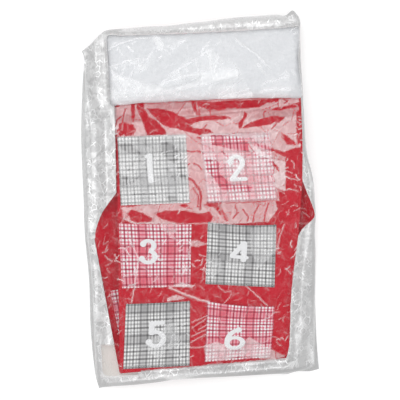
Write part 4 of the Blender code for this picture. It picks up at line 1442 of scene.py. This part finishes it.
def front_film():
    net = bag_grid(film_columns, film_rows)
    points = net / mm
    height, margin = film_rest(net)
    outside, on_felt = eased(margin, 0.42, 0.58), 1 - margin
    rim, edge = from_edges()
    lively = lively_parts(points, edge)
    wide, mid, fine = (facets(net, *sizes) for sizes in front_crumple)
    slack = 0.18 + 0.82 * margin * lively
    crumpled = wide.height + mid.height + fine.height
    height = height + eased(rim, 0, 7) * crumpled * (margin * slack * 0.5 + on_felt * 0.20)
    # The crumple's painted light and shade: bright facets, large lit facets, ridge highlights and their sum
    bright, lit_large, ridge_highlight, painted_shine = facet_light(net, wide, mid, fine)
    painted_glints = scratches(points, glint_line_count, glint_line_seed)

    # Out beside the felt: milky all over, a little more where steep; painted light from facets and glints,
    # painted brighter where steep
    steep = eased(np.hypot(*np.gradient(blurred(height, 4), film_step)), 0.08, 0.30)
    milk = 0.012 + (0.588 + 0.08 * steep) * outside + (1 - outside) * (0.03 * bright + 0.06 * ridge_highlight)
    tone = 0.27 + 0.04 * lit_large + lively * (0.12 + painted_shine + 0.5 * painted_glints)
    tone = 0.20 + 0.09 * steep + (0.67 + 0.30 * steep) * tone
    tone = 1 + eased(margin, 0.30, 0.50) * (tone - 1)

    # On the felt: zones of painted glare and haze, only faint on the cuff, with painted highlights on crease
    # fans and folds and painted shade in valleys
    ragged = points + 0.8 * np.stack([speckled(points, 0.25, 3.1), speckled(points, 0.25, 8.4)], axis=-1)
    high = eased(points[..., 1] + droop(points[..., 0]), 117, 121)
    glare_zone = pressed_zones(points, ragged, 1.0 + 1.5 * high)
    ray_highlights = np.maximum(fan(points, (-82, 122), 5.0, 4.4), 0.8 * fan(points, (14, 116), 4.0, 9.3))
    flat_fold = eased(folds(wide.height, net), 0.03, 0.10)
    faint = 0.34 * glare_zone * (0.55 + 0.5 * lit_large) + 0.22 * ray_highlights * (0.35 + glare_zone) + 0.07 * flat_fold + 0.03 * ridge_highlight
    parted = 1 - 0.6 * eased(-folds(mid.height, net), 0.04, 0.10)
    glare_zone = glare_zone * (1 - high) * (0.76 + 0.55 * painted_shine) * parted + high * on_felt * faint
    tone = np.maximum(tone, eased(glare_zone, 0.02, 0.12))
    milk = np.maximum(milk, glare_zone)
    wrinkle = margin * lively + on_felt * (0.1 + 0.6 * glare_zone)

    # The dull crease at the bottom fold, and the clear place over the paper slip, where the film's tone is
    # painted a little lighter
    crease = 0.8 * np.clip(0.5 - far_from(ragged, dull_crease), 0, 1) * (1 - outside)
    milk, tone = np.maximum(milk, crease), tone + (0.55 - tone) * eased(crease, 0.0, 0.6)
    slip = eased(-far_from(points, clear_place), -1, 0.5) * margin
    milk *= 1 - 0.9 * slip
    tone = tone + 0.3 * slip * (1 - tone)
    wrinkle *= 1 - 0.6 * slip

    # Painted highlights along creases: short glints at random and the long ones
    painted_glints *= (1 - outside) * (0.4 + 0.6 * eased(speckled(points, 0.022, 5.5), -0.15, 0.3) - 0.2 * high)
    milk = np.maximum(milk, 0.6 * painted_glints)
    tone = np.maximum(tone, painted_glints)
    for strength, broad, line in crease_highlights:
        near = np.clip(1.2 - from_line(ragged, line) / (broad * 0.6), 0, 1)
        milk = np.maximum(milk, 0.6 * strength * near)
        tone = np.maximum(tone, near)
        height = height + 0.0004 * near
    piece = film_piece("front_film", net, height, clear_film, milk, tone, wrinkle)


def back_film():
    net = bag_grid(120, 184)
    slopes = facets(net, *back_crumple)
    # Painted light: facets that tilt one way are painted milkier and lighter
    lit = eased(0.7 * slopes.right - 0.7 * slopes.up, 0.02, 0.2)
    looks = (0.14 + 0.10 * lit, 0.30 + 0.3 * lit, np.full(lit.shape, 0.25))
    piece = film_piece("back_film", net, np.full(lit.shape, back_film_z), dull_film, *looks, upwards=False)


def paper_slip():
    """The plain cream slip of paper that lies in the bag's lower left corner."""
    corners = [
        (-0.1270, -0.2005), (-0.1254, -0.2038), (-0.1226, -0.2060), (-0.1190, -0.2068), (-0.0840, -0.2065),
        (-0.0840, -0.1695), (-0.1270, -0.1680),
    ]
    under, over = (lambda x, y: (x, y, 0.00022)), (lambda x, y: (x, y, 0.00040))
    piece = new_piece("paper_slip", *layered(*net_over([corners], 0.004), under, over), cream_paper)
    sharpen(piece)
    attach(piece, "bag")


paper_slip()
front_film()
back_film()


# Floor, light and camera


def white_floor():
    """A plain floor that keeps the shadow and is pale to the camera, also through the film."""
    reach, low = 6, -0.0004
    corners = [(-reach, -reach, low), (reach, -reach, low), (reach, reach, low), (-reach, reach, low)]
    made, tree, shader = finish_named("white_floor", {
        "Base Color": (0.60, 0.60, 0.60, 1), "Roughness": 1.0, "Specular IOR Level": 0.0,
        "Emission Color": (1, 1, 1, 1),
    })
    seen = add_node(tree, "ShaderNodeLightPath").outputs
    either = reckon(tree, "MAXIMUM", seen["Is Camera Ray"], seen["Is Transmission Ray"])
    set_sockets(shader, {"Emission Strength": reckon(tree, "MULTIPLY", either, 0.50)})
    floor = placed("white_floor", mesh_of("white_floor", corners, [], [(0, 1, 2, 3)]))
    floor.data.materials.append(made)
    floor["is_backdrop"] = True


def studio():
    """Soft light from all round, one large box overhead and a low box at each side."""
    world = bpy.context.scene.world = bpy.data.worlds.new("studio")
    world.use_nodes = True
    set_sockets(world.node_tree.nodes["Background"], {"Color": (1, 1, 1, 1), "Strength": 0.57})
    for name, place, size, power in (
        ("overhead_box", (-0.35, 0.60, 2.9), 2.0, 24.0),
        ("left_box", (-1.9, 0.0, 1.0), 1.2, 5.5),
        ("right_box", (1.9, 0.0, 1.0), 1.2, 5.5),
        ("far_box", (0.0, 1.9, 1.0), 1.2, 5.5),
        ("near_box", (0.0, -1.9, 1.0), 1.2, 5.5),
    ):
        lamp = bpy.data.lights.new(name, "AREA")
        lamp.shape, lamp.size, lamp.energy = "SQUARE", size, power
        made = placed(name, lamp)
        made.location = place
        made.rotation_euler = (-Vector(place)).to_track_quat("-Z", "Y").to_euler()


def camera():
    """Straight above the object, as in the photograph."""
    data = bpy.data.cameras.new("camera")
    distance = 2.4
    data.sensor_width = sensor
    data.lens = sensor * distance / picture_width
    data.clip_start, data.clip_end = 0.05, 20
    made = bpy.context.scene.camera = placed("camera", data)
    made.location = (0, 0, distance + 0.01)
    made.rotation_euler = (0, 0, -picture_turn)


white_floor()
studio()
camera()
bpy.context.scene.view_settings.view_transform = "Standard"
